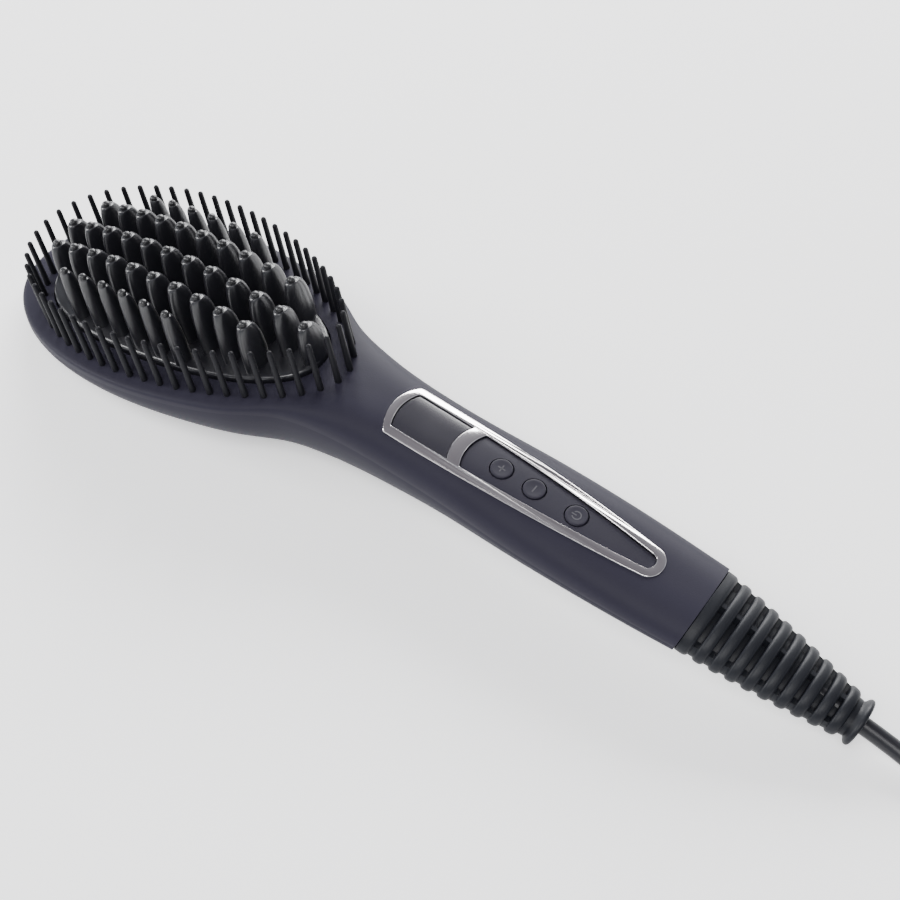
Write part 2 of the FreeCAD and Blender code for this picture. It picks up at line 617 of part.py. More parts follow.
# Upper housing
tub_wire = panel_wire(bezel_start, panel_tail + S.pocket_floor, -S.pocket_floor,
                      S.bezel_bow + S.pocket_floor, True)
pocket_wire = panel_wire(bezel_start, panel_tail + S.pocket_gap, -S.pocket_gap,
                         S.bezel_bow + S.pocket_gap, True)
tub = placed(prism(tub_wire, pocket_low - S.pocket_floor, panel_top), panel_place).common(upper_form)
post_top = pocket_low
posts = placed(Part.makeCompound([rod(S.board_post_radius, board_top, post_top, x, y)
                                  for x, y in post_spots]), panel_place)
upper = upper_form.cut(upper_hollow)
upper = upper.fuse(tub).multiFuse([posts] + [boss.common(upper_form) for boss in bosses])
bay = prism(ring_wire(S.band_half_width + S.bay_margin),
            -S.deck_wall - S.cut_overrun, -S.deck_wall)
openings = [placed(prism(plate_wire(S.plate_gap), -S.deck_wall - S.cut_overrun, S.cut_overrun), deck_place),
            placed(prism(pocket_wire, pocket_low, panel_top), panel_place),
            placed(bay, deck_place)]
for opening in openings:
    upper = upper.cut(opening)
bristle_bores = [rod(S.bristle_radius + S.bristle_hole_gap, -S.deck_wall - S.cut_overrun, S.cut_overrun,
                     p.x, p.y) for p in bristle_places]
upper = upper.cut(placed(Part.makeCompound(bristle_bores), deck_place))
board_pilots = [rod(S.board_screw_radius + S.screw_gap, board_low,
                    board_top + S.screw_bite + S.screw_gap, x, y) for x, y in post_spots]
floor_holes = [rod(S.plunger_radius + S.plunger_hole_gap, board_top, panel_top, x)
               for x in button_places.values()]
floor_holes.append(block(module_half + S.plunger_hole_gap, S.module_half_width + S.plunger_hole_gap,
                         board_top, panel_top, module_middle))
upper = upper.cut(placed(Part.makeCompound(board_pilots + floor_holes), panel_place))
upper = upper.cut(Part.makeCompound(boss_holes))

# Lower housing
lower = lower_form.cut(lower_hollow)
lower = lower.multiFuse([boss.common(lower_form) for boss in bosses])
lower = lower.cut(Part.makeCompound(boss_holes + head_holes))
lower = lower.cut(placed(bay, deck_place))

# Ribbed sleeve: an oval throat through the end wall, a flange inside, ribs that taper to a collar
RIB_COUNT = 10
RIB_PROFILE_SHARES = ((0.1, 1.0), (0.32, 0.0), (0.72, 0.0), (0.94, 1.0))
SLOT_GAPS = range(1, RIB_COUNT - 1)
OPEN_TOP_GAPS = (6, 8)
SLOT_REACH_SHARE = 0.86
SLEEVE_CURVE_SHARE = 1.35
rib_run = S.sleeve_length - S.collar_length
rib_step = rib_run / RIB_COUNT


def sleeve_halves(z):
    share = z / rib_run
    narrowing = share ** SLEEVE_CURVE_SHARE
    return (S.sleeve_half_height + share * (S.sleeve_tip_half_height - S.sleeve_half_height),
            S.sleeve_half_width + narrowing * (S.sleeve_tip_half_width - S.sleeve_half_width))


wires = [ellipse_wire(S.sleeve_half_height, S.sleeve_half_width, 0.0)]
for rib in range(RIB_COUNT):
    for place, depth in RIB_PROFILE_SHARES:
        z = (rib + place) * rib_step
        half_x, half_y = sleeve_halves(z)
        wires.append(ellipse_wire(half_x - depth * S.rib_depth, half_y - depth * S.rib_depth, z))
for z in (rib_run + S.rib_depth, S.sleeve_length):
    wires.append(ellipse_wire(S.collar_half_height, S.collar_half_width, z))
sleeve = Part.makeLoft(wires, True, True)
slots = []
for gap in SLOT_GAPS:
    low, high = (gap - 1 + RIB_PROFILE_SHARES[2][0]) * rib_step, (gap + RIB_PROFILE_SHARES[1][0]) * rib_step
    half_x, half_y = sleeve_halves(low)
    slot = prism(ellipse_wire(half_x + S.rib_depth, half_y + S.rib_depth, 0.0), low, high)
    core_x = half_x - S.rib_depth - S.sleeve_skin
    core_y = half_y - S.rib_depth - S.sleeve_skin
    slot = slot.cut(prism(ellipse_wire(core_x, core_y, 0.0), low, high))
    slot = slot.common(block(reach, SLOT_REACH_SHARE * half_y, low, high))
    bridge_side = S.slot_bridge if gap not in OPEN_TOP_GAPS else 0.0
    if bridge_side:
        slot = slot.cut(block(reach, bridge_side, low, high, 0.0, bridge_side))
    slots.append(slot)
sleeve = sleeve.cut(Part.makeCompound(slots))
throat_low = -S.end_wall - S.throat_gap
sleeve = sleeve.fuse(prism(ellipse_wire(S.throat_half_height, S.throat_half_width, 0.0), throat_low, 0.0))
flange_wire = ellipse_wire(S.sleeve_flange_half_height, S.sleeve_flange_half_width, 0.0)
sleeve = sleeve.fuse(prism(flange_wire, throat_low - S.sleeve_flange_thick, throat_low))
bore = rod(S.cord_radius + S.cord_gap, throat_low - S.sleeve_flange_thick, S.sleeve_length)
keep_shape("strain_relief", sleeve.cut(bore), seam_place)
hole_wire = ellipse_wire(S.throat_half_height + S.throat_gap, S.throat_half_width + S.throat_gap, 0.0)
throat_hole = placed(prism(hole_wire, -S.end_wall - S.cut_overrun, S.cut_overrun), seam_place)
keep_shape("upper_housing", upper.cut(throat_hole))
keep_shape("lower_housing", lower.cut(throat_hole))

# The cord runs through the sleeve, which is moulded on it
keep(cylinder("cord_inlet_rod", "sizes.cord_radius", "sizes.sleeve_length + sizes.cord_inside",
              seam_place.multiply(move(0, 0, -S.cord_inside))), "cord_inlet")

# Wires inside, each a run of straights and tangent bends
BEND_SHARE = 0.45


def route_wire(name, points):
    """Straight runs joined by arcs; prints the tightest bend."""
    edges, last, radii = [], points[0], []
    for before, corner, after in zip(points, points[1:], points[2:]):
        back, ahead = (before - corner), (after - corner)
        setback = BEND_SHARE * min(back.Length, ahead.Length)
        half_turn = (math.pi - back.getAngle(ahead)) / 2
        back.normalize()
        ahead.normalize()
        radius = setback / math.tan(half_turn)
        inward = (back + ahead).normalize()
        middle = corner + inward * (radius / math.cos(half_turn) - radius)
        arc_start, arc_end = corner + back * setback, corner + ahead * setback
        edges.append(Part.LineSegment(last, arc_start).toShape())
        edges.append(Part.Arc(arc_start, middle, arc_end).toShape())
        radii.append(radius)
        last = arc_end
    edges.append(Part.LineSegment(last, points[-1]).toShape())
    wire = Part.Wire(edges)
    print(name, "length", round(wire.Length, 1), "tightest bend", round(min(radii, default=0.0), 1))
    return wire


def sweep(path, radius):
    start = path.Edges[0]
    point = start.valueAt(start.FirstParameter)
    ring = Part.Wire(Part.Circle(point, start.tangentAt(start.FirstParameter), radius).toShape())
    solid = path.makePipeShell([ring], True, False)
    share = solid.Volume / (math.pi * radius ** 2 * path.Length)
    print("  volume over section times length", round(share, 4))
    return solid


HEATER_WIRE_SIDE_SHARE, SENSOR_WIRE_SIDE_SHARE = 0.3, 0.1
board_mid = (board_low + board_top) / 2
head_wires, sensor_wires, mains_wires = [], [], []
for side in (1, -1):
    y = side * HEATER_WIRE_SIDE_SHARE * S.heater_width
    start = deck_place.multVec(Vector(heater_run / 2, y, (heater_low + flange_low) / 2))
    out = deck_place.multVec(Vector(heater_run / 2 + S.lug_radius, y, (heater_low + flange_low) / 2))
    goal = panel_place.multVec(Vector(board_head, y, board_mid))
    near = panel_place.multVec(Vector(board_head - S.heater_thick, y, board_mid))
    head_wires.append(sweep(route_wire("heater wire", [start, out, near, goal]), S.heater_wire_radius))
    y = side * SENSOR_WIRE_SIDE_SHARE * S.heater_width
    start = deck_place.multVec(Vector(S.lug_place + S.lug_radius, y, flange_low - S.lug_thick / 2))
    out = deck_place.multVec(Vector(S.lug_place + 2 * S.lug_radius, y, flange_low - S.lug_thick / 2))
    goal = panel_place.multVec(Vector(board_head, y, board_mid))
    near = panel_place.multVec(Vector(board_head - S.heater_thick, y, board_mid))
    sensor_wires.append(sweep(route_wire("sensor wire", [start, out, near, goal]), S.sensor_wire_radius))
    y = side * S.cord_radius / 2
    start = seam_place.multVec(Vector(0, y, -S.cord_inside))
    out = seam_place.multVec(Vector(0, y, -S.cord_inside - S.heater_wire_radius))
    goal = panel_place.multVec(Vector(board_tail, y, board_mid))
    near = panel_place.multVec(Vector(board_tail + S.heater_wire_radius, y, board_mid))
    mains_wires.append(sweep(route_wire("mains wire", [start, out, near, goal]), S.heater_wire_radius))
keep_shape("heater_wires", Part.makeCompound(head_wires))
keep_shape("sensor_wires", Part.makeCompound(sensor_wires))
keep_shape("mains_wires", Part.makeCompound(mains_wires))

# Coil of the cord's length: four and a quarter turns in, half a turn up, and the same out again
QUARTERS = 4
LAYER_QUARTERS, CLIMB_QUARTERS = 17, 2
CLIMB_NARROWING_SHARE, CLIMB_SLOPE_SHARE = 0.25, 1.5
turn_pitch = 2 * S.cord_radius + S.coil_turn_gap
coil_outer = S.coil_inner_radius + turn_pitch * LAYER_QUARTERS / QUARTERS
coil_low = S.tie_thick + S.tie_gap + S.cord_radius
quarter = math.pi / 2
coil_line_y = S.coil_centre_y - coil_outer
total_quarters = 2 * LAYER_QUARTERS + CLIMB_QUARTERS


def coil_node(k):
    """Radius, height and climb per radian at a quarter turn."""
    if k <= LAYER_QUARTERS:
        return coil_outer - turn_pitch * k / QUARTERS, coil_low, 0.0
    if k < LAYER_QUARTERS + CLIMB_QUARTERS:
        slope = CLIMB_SLOPE_SHARE * turn_pitch / (CLIMB_QUARTERS * quarter)
        return S.coil_inner_radius - CLIMB_NARROWING_SHARE * turn_pitch, coil_low + turn_pitch / 2, slope
    out = k - LAYER_QUARTERS - CLIMB_QUARTERS
    return S.coil_inner_radius + turn_pitch * out / QUARTERS, coil_low + turn_pitch, 0.0


def coil_point(k):
    radius, z, slope = coil_node(k)
    angle = (k - 1) * quarter
    return Vector(S.coil_centre_x + radius * math.cos(angle), S.coil_centre_y + radius * math.sin(angle), z)


def coil_tangent(k):
    angle = (k - 1) * quarter
    round_way = Vector(-math.sin(angle), math.cos(angle), 0)
    if k in (0, total_quarters):
        return round_way
    radius, z, slope = coil_node(k)
    widen = (coil_node(k + 1)[0] - coil_node(k - 1)[0]) / (2 * quarter)
    outward = Vector(math.cos(angle), math.sin(angle), 0)
    return (round_way * radius + outward * widen + Z_AXIS * slope).normalize()


def half_biarc(start, tangent, corner, end):
    middle = (start + end) * 0.5
    lean = tangent.getAngle(end - start)
    rise = (corner - middle).normalize() * ((end - start).Length / 2 * math.tan(lean / 2))
    return Part.Arc(start, middle + rise, end).toShape()


def biarc(p0, t0, p1, t1):
    """Two arcs that join two places with given directions."""
    v = p1 - p0
    lean = v.dot(t0 + t1)
    spread = 2 * (1 - t0.dot(t1))
    d = (math.sqrt(lean * lean + spread * v.dot(v)) - lean) / spread
    corner0, corner1 = p0 + t0 * d, p1 - t1 * d
    joint = (corner0 + corner1) * 0.5
    return [half_biarc(p0, t0, corner0, joint), half_biarc(joint, (corner1 - joint).normalize(), corner1, p1)]


coil_start = coil_point(0) - X_AXIS * (2 * S.cord_radius)
coil_end = coil_point(total_quarters) + X_AXIS * (2 * S.cord_radius)
coil_edges = [Part.LineSegment(coil_start, coil_point(0)).toShape()]
for k in range(total_quarters):
    coil_edges += biarc(coil_point(k), coil_tangent(k), coil_point(k + 1), coil_tangent(k + 1))
coil_edges.append(Part.LineSegment(coil_point(total_quarters), coil_end).toShape())
coil_path = Part.Wire(coil_edges)
samples = coil_path.discretize(Distance=S.cord_radius)
skip = int(4 * math.pi)
gap = min(a.distanceToPoint(b) for i, a in enumerate(samples) for b in samples[i + skip:]) - 2 * S.cord_radius
print("coil length", round(coil_path.Length, 1), "least gap to itself", round(gap, 2))
print("coil outer radius", round(coil_outer, 1))
keep_shape("cord_coil", sweep(coil_path, S.cord_radius))

# Free stretches: from the collar to the coil, and from the coil to the plug
FREE_ROUTE = ((243.0, -4.0, 2.5), (262.0, -24.0, 2.5))
FIRST_RUN_SHARE, LAST_RUN_SHARE = 0.31, 0.3
collar_end = seam_place.multVec(Vector(0, 0, S.sleeve_length))
collar_way = seam_place.Rotation.multVec(Z_AXIS)
free_points = [collar_end, collar_end + collar_way * (FIRST_RUN_SHARE * S.sleeve_length)]
free_points += [Vector(*point) * S.route_unit for point in FREE_ROUTE]
free_points += [coil_start - X_AXIS * (LAST_RUN_SHARE * S.sleeve_length), coil_start]
free_path = route_wire("free cord", free_points)
keep_shape("power_cord", sweep(free_path, S.cord_radius))
plug_start = Vector(S.plug_start_x, S.plug_start_y, S.plug_half_height)
plug_spin = Rotation(Z_AXIS, S.plug_turn)
tail_run = (plug_start.x - coil_end.x) / 4
tail_points = [coil_end, coil_end + X_AXIS * tail_run,
               plug_start - plug_spin.multVec(X_AXIS) * tail_run, plug_start]
tail_path = route_wire("cord tail", tail_points)
keep_shape("cord_tail", sweep(tail_path, S.cord_radius))
cord_length = S.sleeve_length + S.cord_inside + free_path.Length + coil_path.Length + tail_path.Length
print("cord length in all", round(cord_length, 1))

# Tie round the coil on the side away from the cord
tie_inner_low = S.coil_centre_y + S.coil_inner_radius - CLIMB_NARROWING_SHARE * turn_pitch - 2 * S.cord_radius
tie_inner_high = S.coil_centre_y + coil_outer + S.cord_radius + S.tie_gap
tie_middle = (tie_inner_low + tie_inner_high) / 2
tie_half = (tie_inner_high - tie_inner_low) / 2
tie_top = coil_low + turn_pitch + S.cord_radius + S.tie_gap
tie = block(S.tie_width / 2, tie_half + S.tie_thick, 0.0, tie_top + S.tie_thick, S.coil_centre_x, tie_middle)
tie = tie.cut(block(S.tie_width, tie_half, S.tie_thick, tie_top, S.coil_centre_x, tie_middle))
keep_shape("cord_tie", tie)

# Flat two-pin plug lying on the surface
plug_place = Placement(plug_start, plug_spin.multiply(Rotation(Y_AXIS, 90)))
plug_sleeve = rod(S.plug_sleeve_radius, 0.0, S.plug_sleeve)
PLUG_SHOULDER_SHARE = 0.35
shoulder = S.plug_sleeve + PLUG_SHOULDER_SHARE * S.plug_length
plug_end = S.plug_sleeve + S.plug_length
face_half_height = S.plug_half_height - S.plug_face_shrink
body = Part.makeLoft([ellipse_wire(S.plug_tail_half_height, S.plug_tail_half_width, S.plug_sleeve),
                      ellipse_wire(S.plug_half_height, S.plug_half_width, shoulder),
                      ellipse_wire(face_half_height, S.plug_half_width, plug_end)], True, True)
pin_places = (S.pin_spacing / 2, -S.pin_spacing / 2)
sockets = Part.makeCompound([rod(S.pin_radius, plug_end - S.pin_root, plug_end, 0.0, y) for y in pin_places])
keep_shape("plug_body", plug_sleeve.fuse(body).cut(sockets), plug_place)
pins = [cylinder(f"pin_{index}", "sizes.pin_radius", "sizes.pin_root + sizes.pin_length",
                 plug_place.multiply(move(0, y, plug_end - S.pin_root)))
        for index, y in enumerate(pin_places)]
keep(bundle("pins", pins), "plug_pins")

# Every piece is checked before any file is written
doc.recompute()
faults = [obj.Name for obj in doc.Objects if "Invalid" in obj.State or "Error" in obj.State]
faults += [label for label, obj in nodes.items() if obj.Shape.isNull() or not obj.Shape.isValid()]
if faults:
    raise RuntimeError("pieces at fault: " + ", ".join(faults))
os.makedirs("parts", exist_ok=True)
for label, obj in nodes.items():
    obj.Shape.exportStep(f"parts/{label}.step")
    print(label, len(obj.Shape.Solids), round(obj.Shape.Volume, 1))
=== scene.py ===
import json
import math

import bmesh
import bpy
import numpy as np
from mathutils import Matrix, Vector


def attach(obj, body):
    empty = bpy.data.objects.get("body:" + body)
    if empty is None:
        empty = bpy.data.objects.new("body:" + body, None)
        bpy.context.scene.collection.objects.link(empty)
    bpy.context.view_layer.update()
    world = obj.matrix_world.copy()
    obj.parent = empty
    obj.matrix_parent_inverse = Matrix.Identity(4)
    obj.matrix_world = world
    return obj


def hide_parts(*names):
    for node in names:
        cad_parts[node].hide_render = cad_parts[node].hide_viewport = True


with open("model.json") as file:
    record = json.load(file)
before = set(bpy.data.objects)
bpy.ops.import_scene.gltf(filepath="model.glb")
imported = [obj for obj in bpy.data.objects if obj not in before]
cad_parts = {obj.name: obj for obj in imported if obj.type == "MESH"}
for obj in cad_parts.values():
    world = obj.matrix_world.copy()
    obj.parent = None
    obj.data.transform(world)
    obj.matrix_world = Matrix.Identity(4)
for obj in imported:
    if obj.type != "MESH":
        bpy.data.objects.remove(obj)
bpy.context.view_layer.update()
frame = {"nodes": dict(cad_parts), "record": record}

# Lower housing: a soft-touch moulded shell that makes the belly of the head and the back of the handle.
# It lies on a small flat land under the head, and four deep holes lead to the screws that close the case.
TILT = math.radians(9.7)
DECK_HEIGHT = 18.9
EDGE_HEIGHT = 3.2
TIP, NECK, SEAM = -65.1, 46.0, 169.5
HEAD_CENTRE, HEAD_LONG, HEAD_WIDE, HEAD_EGG = -1.9, 63.2, 34.0, 0.136
NOSE_ROUND = 3.0
SLEEVE_DROOP = 11.3
HEAD_STATIONS = (
    (0.0008, 0.13, 2.2), (0.0034, 0.25, 2.4), (0.0125, 0.43, 3.0), (0.0273, 0.59, 4.0),
    (0.0557, 0.77, 6.0), (0.105, 0.91, 7.0), (0.175, 0.985, 8.0), (0.285, 1.02, 8.0),
    (0.435, 1.03, 8.0), (0.61, 1.01, 8.0), (0.785, 1.0, 7.0), (0.902, 0.99, 6.0),
)
HANDLE_STATIONS = (
    (0.0, 1.25, 0.93, 0.77, 0.018, 4.6), (0.078, 1.06, 0.979, 0.748, 0.034, 3.6),
    (0.172, 0.945, 1.0, 0.708, 0.068, 3.0), (0.281, 0.9, 0.983, 0.67, 0.12, 2.8),
    (0.406, 0.9, 0.955, 0.642, 0.19, 2.8), (0.5625, 0.955, 0.91, 0.611, 0.262, 2.8),
    (0.719, 0.97, 0.855, 0.583, 0.3, 2.8), (0.859, 0.945, 0.8, 0.559, 0.31, 2.7),
    (1.0, 0.885, 0.76, 0.534, 0.31, 2.5), (1.05, 0.86, 0.746, 0.526, 0.31, 2.5),
)
HANDLE_WIDE, CREST = 15.5, 28.8
BELLY_SQUARE = 2.3


def deck_z(x):
    return DECK_HEIGHT + x * math.tan(TILT)


def head_half_width(x):
    along = (x - HEAD_CENTRE) / HEAD_LONG
    return HEAD_WIDE * math.sqrt(1 - along * along) * (1 - HEAD_EGG * along)


def body_stations():
    """Rows of x, half width, top, side line, bottom and squareness of the top, head to tail."""
    rows = []
    for place, belly, square in HEAD_STATIONS:
        x = TIP + place * (NECK - TIP)
        side = deck_z(x) - EDGE_HEIGHT
        nose = max(0.0, 1 - (x - TIP) / NOSE_ROUND)
        rows.append((x, head_half_width(x), side + EDGE_HEIGHT * math.sqrt(1 - nose * nose), side,
                     side - belly * side, square))
    for place, half, top, side, bottom, square in HANDLE_STATIONS:
        rows.append((NECK + place * (SEAM - NECK), half * HANDLE_WIDE, top * CREST, side * CREST,
                     bottom * CREST, square))
    return np.array(rows)


def spline(knots, values, at):
    """Natural cubic through the stations."""
    steps = np.diff(knots)
    count = len(knots)
    matrix = np.eye(count)
    right = np.zeros((count, values.shape[1]))
    for i in range(1, count - 1):
        matrix[i, i - 1:i + 2] = steps[i - 1], 2 * (steps[i - 1] + steps[i]), steps[i]
        right[i] = 6 * ((values[i + 1] - values[i]) / steps[i] - (values[i] - values[i - 1]) / steps[i - 1])
    bend = np.linalg.solve(matrix, right)
    cell = np.clip(np.searchsorted(knots, at, side="right") - 1, 0, count - 2)
    h = steps[cell][:, None]
    a = (knots[cell + 1] - at)[:, None]
    b = (at - knots[cell])[:, None]
    return (bend[cell] * a ** 3 + bend[cell + 1] * b ** 3) / (6 * h) \
        + (values[cell] / h - bend[cell] * h / 6) * a + (values[cell + 1] / h - bend[cell + 1] * h / 6) * b


rows = body_stations()
reach = np.concatenate([[0], np.cumsum(np.hypot(np.diff(rows[:, 0]), np.diff(rows[:, 1])))])
BODY_ROWS = 260
fine_rows = spline(reach, rows, np.linspace(0, reach[-1], BODY_ROWS))


def half_ring(row, upper, steps=56, groove=0.12):
    """Points of one half of a section from +Y over to -Y, with a hair of a groove at the side line."""
    x, half, top, side, bottom, square = row
    height = top - side if upper else bottom - side
    power = 2 / (square if upper else BELLY_SQUARE)
    ring = [(x, half - groove, side)]
    for step in range(1, steps):
        angle = math.pi * step / steps
        across = math.copysign(abs(math.cos(angle)) ** power, math.cos(angle))
        ring.append((x, half * across, side + height * math.sin(angle) ** power))
    ring.append((x, groove - half, side))
    return ring


MM = 0.001
WELD, CUT_TOLERANCE = 0.004, 1e-7


def make_piece(name, points, faces, place=None):
    """A mesh piece from points in millimetres, set in place, with its faces turned outwards."""
    mesh = bpy.data.meshes.new(name)
    mesh.from_pydata([Vector(p) for p in points], [], faces)
    if place is not None:
        mesh.transform(place)
    mesh.transform(Matrix.Scale(MM, 4))
    tidy = bmesh.new()
    tidy.from_mesh(mesh)
    bmesh.ops.remove_doubles(tidy, verts=tidy.verts, dist=WELD * MM)
    bmesh.ops.recalc_face_normals(tidy, faces=tidy.faces)
    tidy.to_mesh(mesh)
    tidy.free()
    piece = bpy.data.objects.new(name, mesh)
    bpy.context.scene.collection.objects.link(piece)
    return piece


def ring_faces(count, size, capped=True):
    """Quads between closed rings of equal size, with a cap at each end."""
    faces = []
    for ring in range(count - 1):
        for i in range(size):
            j = (i + 1) % size
            faces.append((ring * size + i, ring * size + j, (ring + 1) * size + j, (ring + 1) * size + i))
    if capped:
        faces.append(tuple(range(size)))
        faces.append(tuple((count - 1) * size + i for i in range(size)))
    return faces


def ring_piece(name, rings, place=None):
    return make_piece(name, [p for ring in rings for p in ring], ring_faces(len(rings), len(rings[0])), place)


def trim(piece, point, normal):
    """Cut a closed piece off beyond a plane and close the cut."""
    mesh = piece.data
    work = bmesh.new()
    work.from_mesh(mesh)
    cut = bmesh.ops.bisect_plane(work, geom=work.verts[:] + work.edges[:] + work.faces[:], dist=CUT_TOLERANCE,
                                 plane_co=Vector(point) * MM, plane_no=normal, clear_outer=True)
    rim = [e for e in cut["geom_cut"] if isinstance(e, bmesh.types.BMEdge)]
    bmesh.ops.edgeloop_fill(work, edges=rim)
    bmesh.ops.recalc_face_normals(work, faces=work.faces)
    work.to_mesh(mesh)
    work.free()


def carve(piece, *tools):
    """Take closed tools out of a closed piece."""
    for tool in tools:
        knife = piece.modifiers.new("knife", "BOOLEAN")
        knife.operation = "DIFFERENCE"
        knife.solver = "EXACT"
        knife.object = tool
    graph = bpy.context.evaluated_depsgraph_get()
    mesh = bpy.data.meshes.new_from_object(piece.evaluated_get(graph))
    piece.modifiers.clear()
    piece.data = mesh
    for tool in tools:
        bpy.data.objects.remove(tool)


def soften(piece, angle=32):
    piece.data.shade_smooth()
    piece.data.set_sharp_from_angle(angle=math.radians(angle))


def finish_piece(piece, material, slot, *nodes, body="brush"):
    """Give a piece its material and its body, and hide the CAD nodes that it stands for."""
    piece.data.materials.clear()
    piece.data.materials.append(material)
    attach(piece, body)
    if nodes:
        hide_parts(*nodes)


def grain_group():
    """Fine moulded grain and slow mottling, both in object space."""
    group = bpy.data.node_groups.new("moulded_grain", "ShaderNodeTree")
    for name, value in (("Grain Size", 0.0006), ("Mottle Size", 0.02)):
        socket = group.interface.new_socket(name, in_out="INPUT", socket_type="NodeSocketFloat")
        socket.default_value = value
    for name in ("Grain", "Mottle"):
        group.interface.new_socket(name, in_out="OUTPUT", socket_type="NodeSocketFloat")
    nodes, links = group.nodes, group.links
    given, out = nodes.new("NodeGroupInput"), nodes.new("NodeGroupOutput")
    where = nodes.new("ShaderNodeTexCoord")
    for name, detail in (("Grain", 2.0), ("Mottle", 3.0)):
        scale = nodes.new("ShaderNodeMath")
        scale.operation = "DIVIDE"
        scale.inputs[0].default_value = 1.0
        links.new(given.outputs[f"{name} Size"], scale.inputs[1])
        noise = nodes.new("ShaderNodeTexNoise")
        noise.inputs["Detail"].default_value = detail
        links.new(where.outputs["Object"], noise.inputs["Vector"])
        links.new(scale.outputs[0], noise.inputs["Scale"])
        links.new(noise.outputs["Fac"], out.inputs[name])
    return group


GRAIN = grain_group()
GRAIN_DEPTH = 0.0001


def moulded(name, dark, light, rough, bump, grain_size, mottle_size=0.02, metallic=0.0, specular=0.5):
    """A moulded or plated finish: mottled colour, uneven gloss and a fine grain."""
    material = bpy.data.materials.new(name)
    material.use_nodes = True
    nodes, links = material.node_tree.nodes, material.node_tree.links
    shader = nodes["Principled BSDF"]
    grain = nodes.new("ShaderNodeGroup")
    grain.node_tree = GRAIN
    grain.inputs["Grain Size"].default_value = grain_size
    grain.inputs["Mottle Size"].default_value = mottle_size
    tone = nodes.new("ShaderNodeMix")
    tone.data_type = "RGBA"
    tone.inputs["A"].default_value = (*dark, 1)
    tone.inputs["B"].default_value = (*light, 1)
    links.new(grain.outputs["Mottle"], tone.inputs["Factor"])
    links.new(tone.outputs["Result"], shader.inputs["Base Color"])
    gloss = nodes.new("ShaderNodeMapRange")
    gloss.inputs["To Min"].default_value = rough[0]
    gloss.inputs["To Max"].default_value = rough[1]
    links.new(grain.outputs["Mottle"], gloss.inputs["Value"])
    links.new(gloss.outputs["Result"], shader.inputs["Roughness"])
    relief = nodes.new("ShaderNodeBump")
    relief.inputs["Strength"].default_value = bump
    relief.inputs["Distance"].default_value = GRAIN_DEPTH
    links.new(grain.outputs["Grain"], relief.inputs["Height"])
    links.new(relief.outputs["Normal"], shader.inputs["Normal"])
    shader.inputs["Metallic"].default_value = metallic
    shader.inputs["Specular IOR Level"].default_value = specular
    return material


soft_touch = moulded("soft_touch_charcoal", (0.0165, 0.015, 0.0255), (0.021, 0.0195, 0.031), (0.48, 0.56),
                     0.2, 0.00045, specular=0.12)

SCREW_SPOTS = ((62.0, 10.2), (62.0, -10.2), (156.0, 9.2), (156.0, -9.2))
SCREW_SEAT, SCREW_HOLE, SCREW_MOUTH = 1.6, 2.75, -5.0


def round_angles(size):
    return [2 * math.pi * i / size for i in range(size)]


def disc(x, y, radius, low, high, size=48):
    return [[(x + radius * math.cos(angle), y + radius * math.sin(angle), z) for angle in round_angles(size)]
            for z in (low, high)]


def side_z(x):
    return float(np.interp(x, fine_rows[:, 0], fine_rows[:, 3]))


seam_point = (SEAM, 0, side_z(SEAM))
seam_way = Vector((math.cos(math.radians(SLEEVE_DROOP)), 0, -math.sin(math.radians(SLEEVE_DROOP))))
lower = ring_piece("lower_shell", [half_ring(row, False) for row in fine_rows])
trim(lower, seam_point, seam_way)
trim(lower, (0, 0, 0), Vector((0, 0, -1)))
carve(lower, *[ring_piece(f"screw_hole_{i}", disc(x, y, SCREW_HOLE, SCREW_MOUTH, side_z(x) - SCREW_SEAT))
               for i, (x, y) in enumerate(SCREW_SPOTS)])
soften(lower)
finish_piece(lower, soft_touch, "shell", "lower_housing")

# Upper housing: the flat deck with a soft rounded rim, the rising neck and the top of the handle.
# One moulding in the same soft-touch plastic, with an opening for the plate and a pocket for the panel.
PLATE_LONG, PLATE_WIDE, PLATE_CENTRE, PLATE_EGG, PLATE_SQUARE = 50.4, 22.8, -2.6, 0.16, 2.3
PLATE_GAP, PLATE_HOLE_SPAN = 0.5, (-2.2, 6.0)
deck_place = Matrix.Translation((0, 0, DECK_HEIGHT)) @ Matrix.Rotation(-TILT, 4, "Y")
PANEL_X = 115.0
PANEL_LONG, PANEL_WIDE, PANEL_TAIL, PANEL_CURVE = 85.0, 9.1, 4.3, 2.4
PANEL_BOW, RAIL, SHORT_TAIL = 3.2, 2.5, 0.5
SHARP_TURN, CORNER_SHARE = 0.35, 0.48
BEND_STEPS, SKIN_EDGE = 8, 0.999


def plate_ring(margin, z, size=160):
    """Blunt egg of the heated plate, wider towards the tip."""
    ring = []
    for angle in round_angles(size):
        along = math.copysign(abs(math.cos(angle)) ** (2 / PLATE_SQUARE), math.cos(angle))
        across = math.copysign(abs(math.sin(angle)) ** (2 / PLATE_SQUARE), math.sin(angle))
        ring.append((PLATE_CENTRE + (PLATE_LONG + margin) * along,
                     (PLATE_WIDE + margin) * across * (1 - PLATE_EGG * along), z))
    return ring


def rail_half(place):
    share = max(0.0, (place + PANEL_LONG / 2) / PANEL_LONG)
    return PANEL_WIDE + share ** PANEL_CURVE * (PANEL_TAIL - PANEL_WIDE)


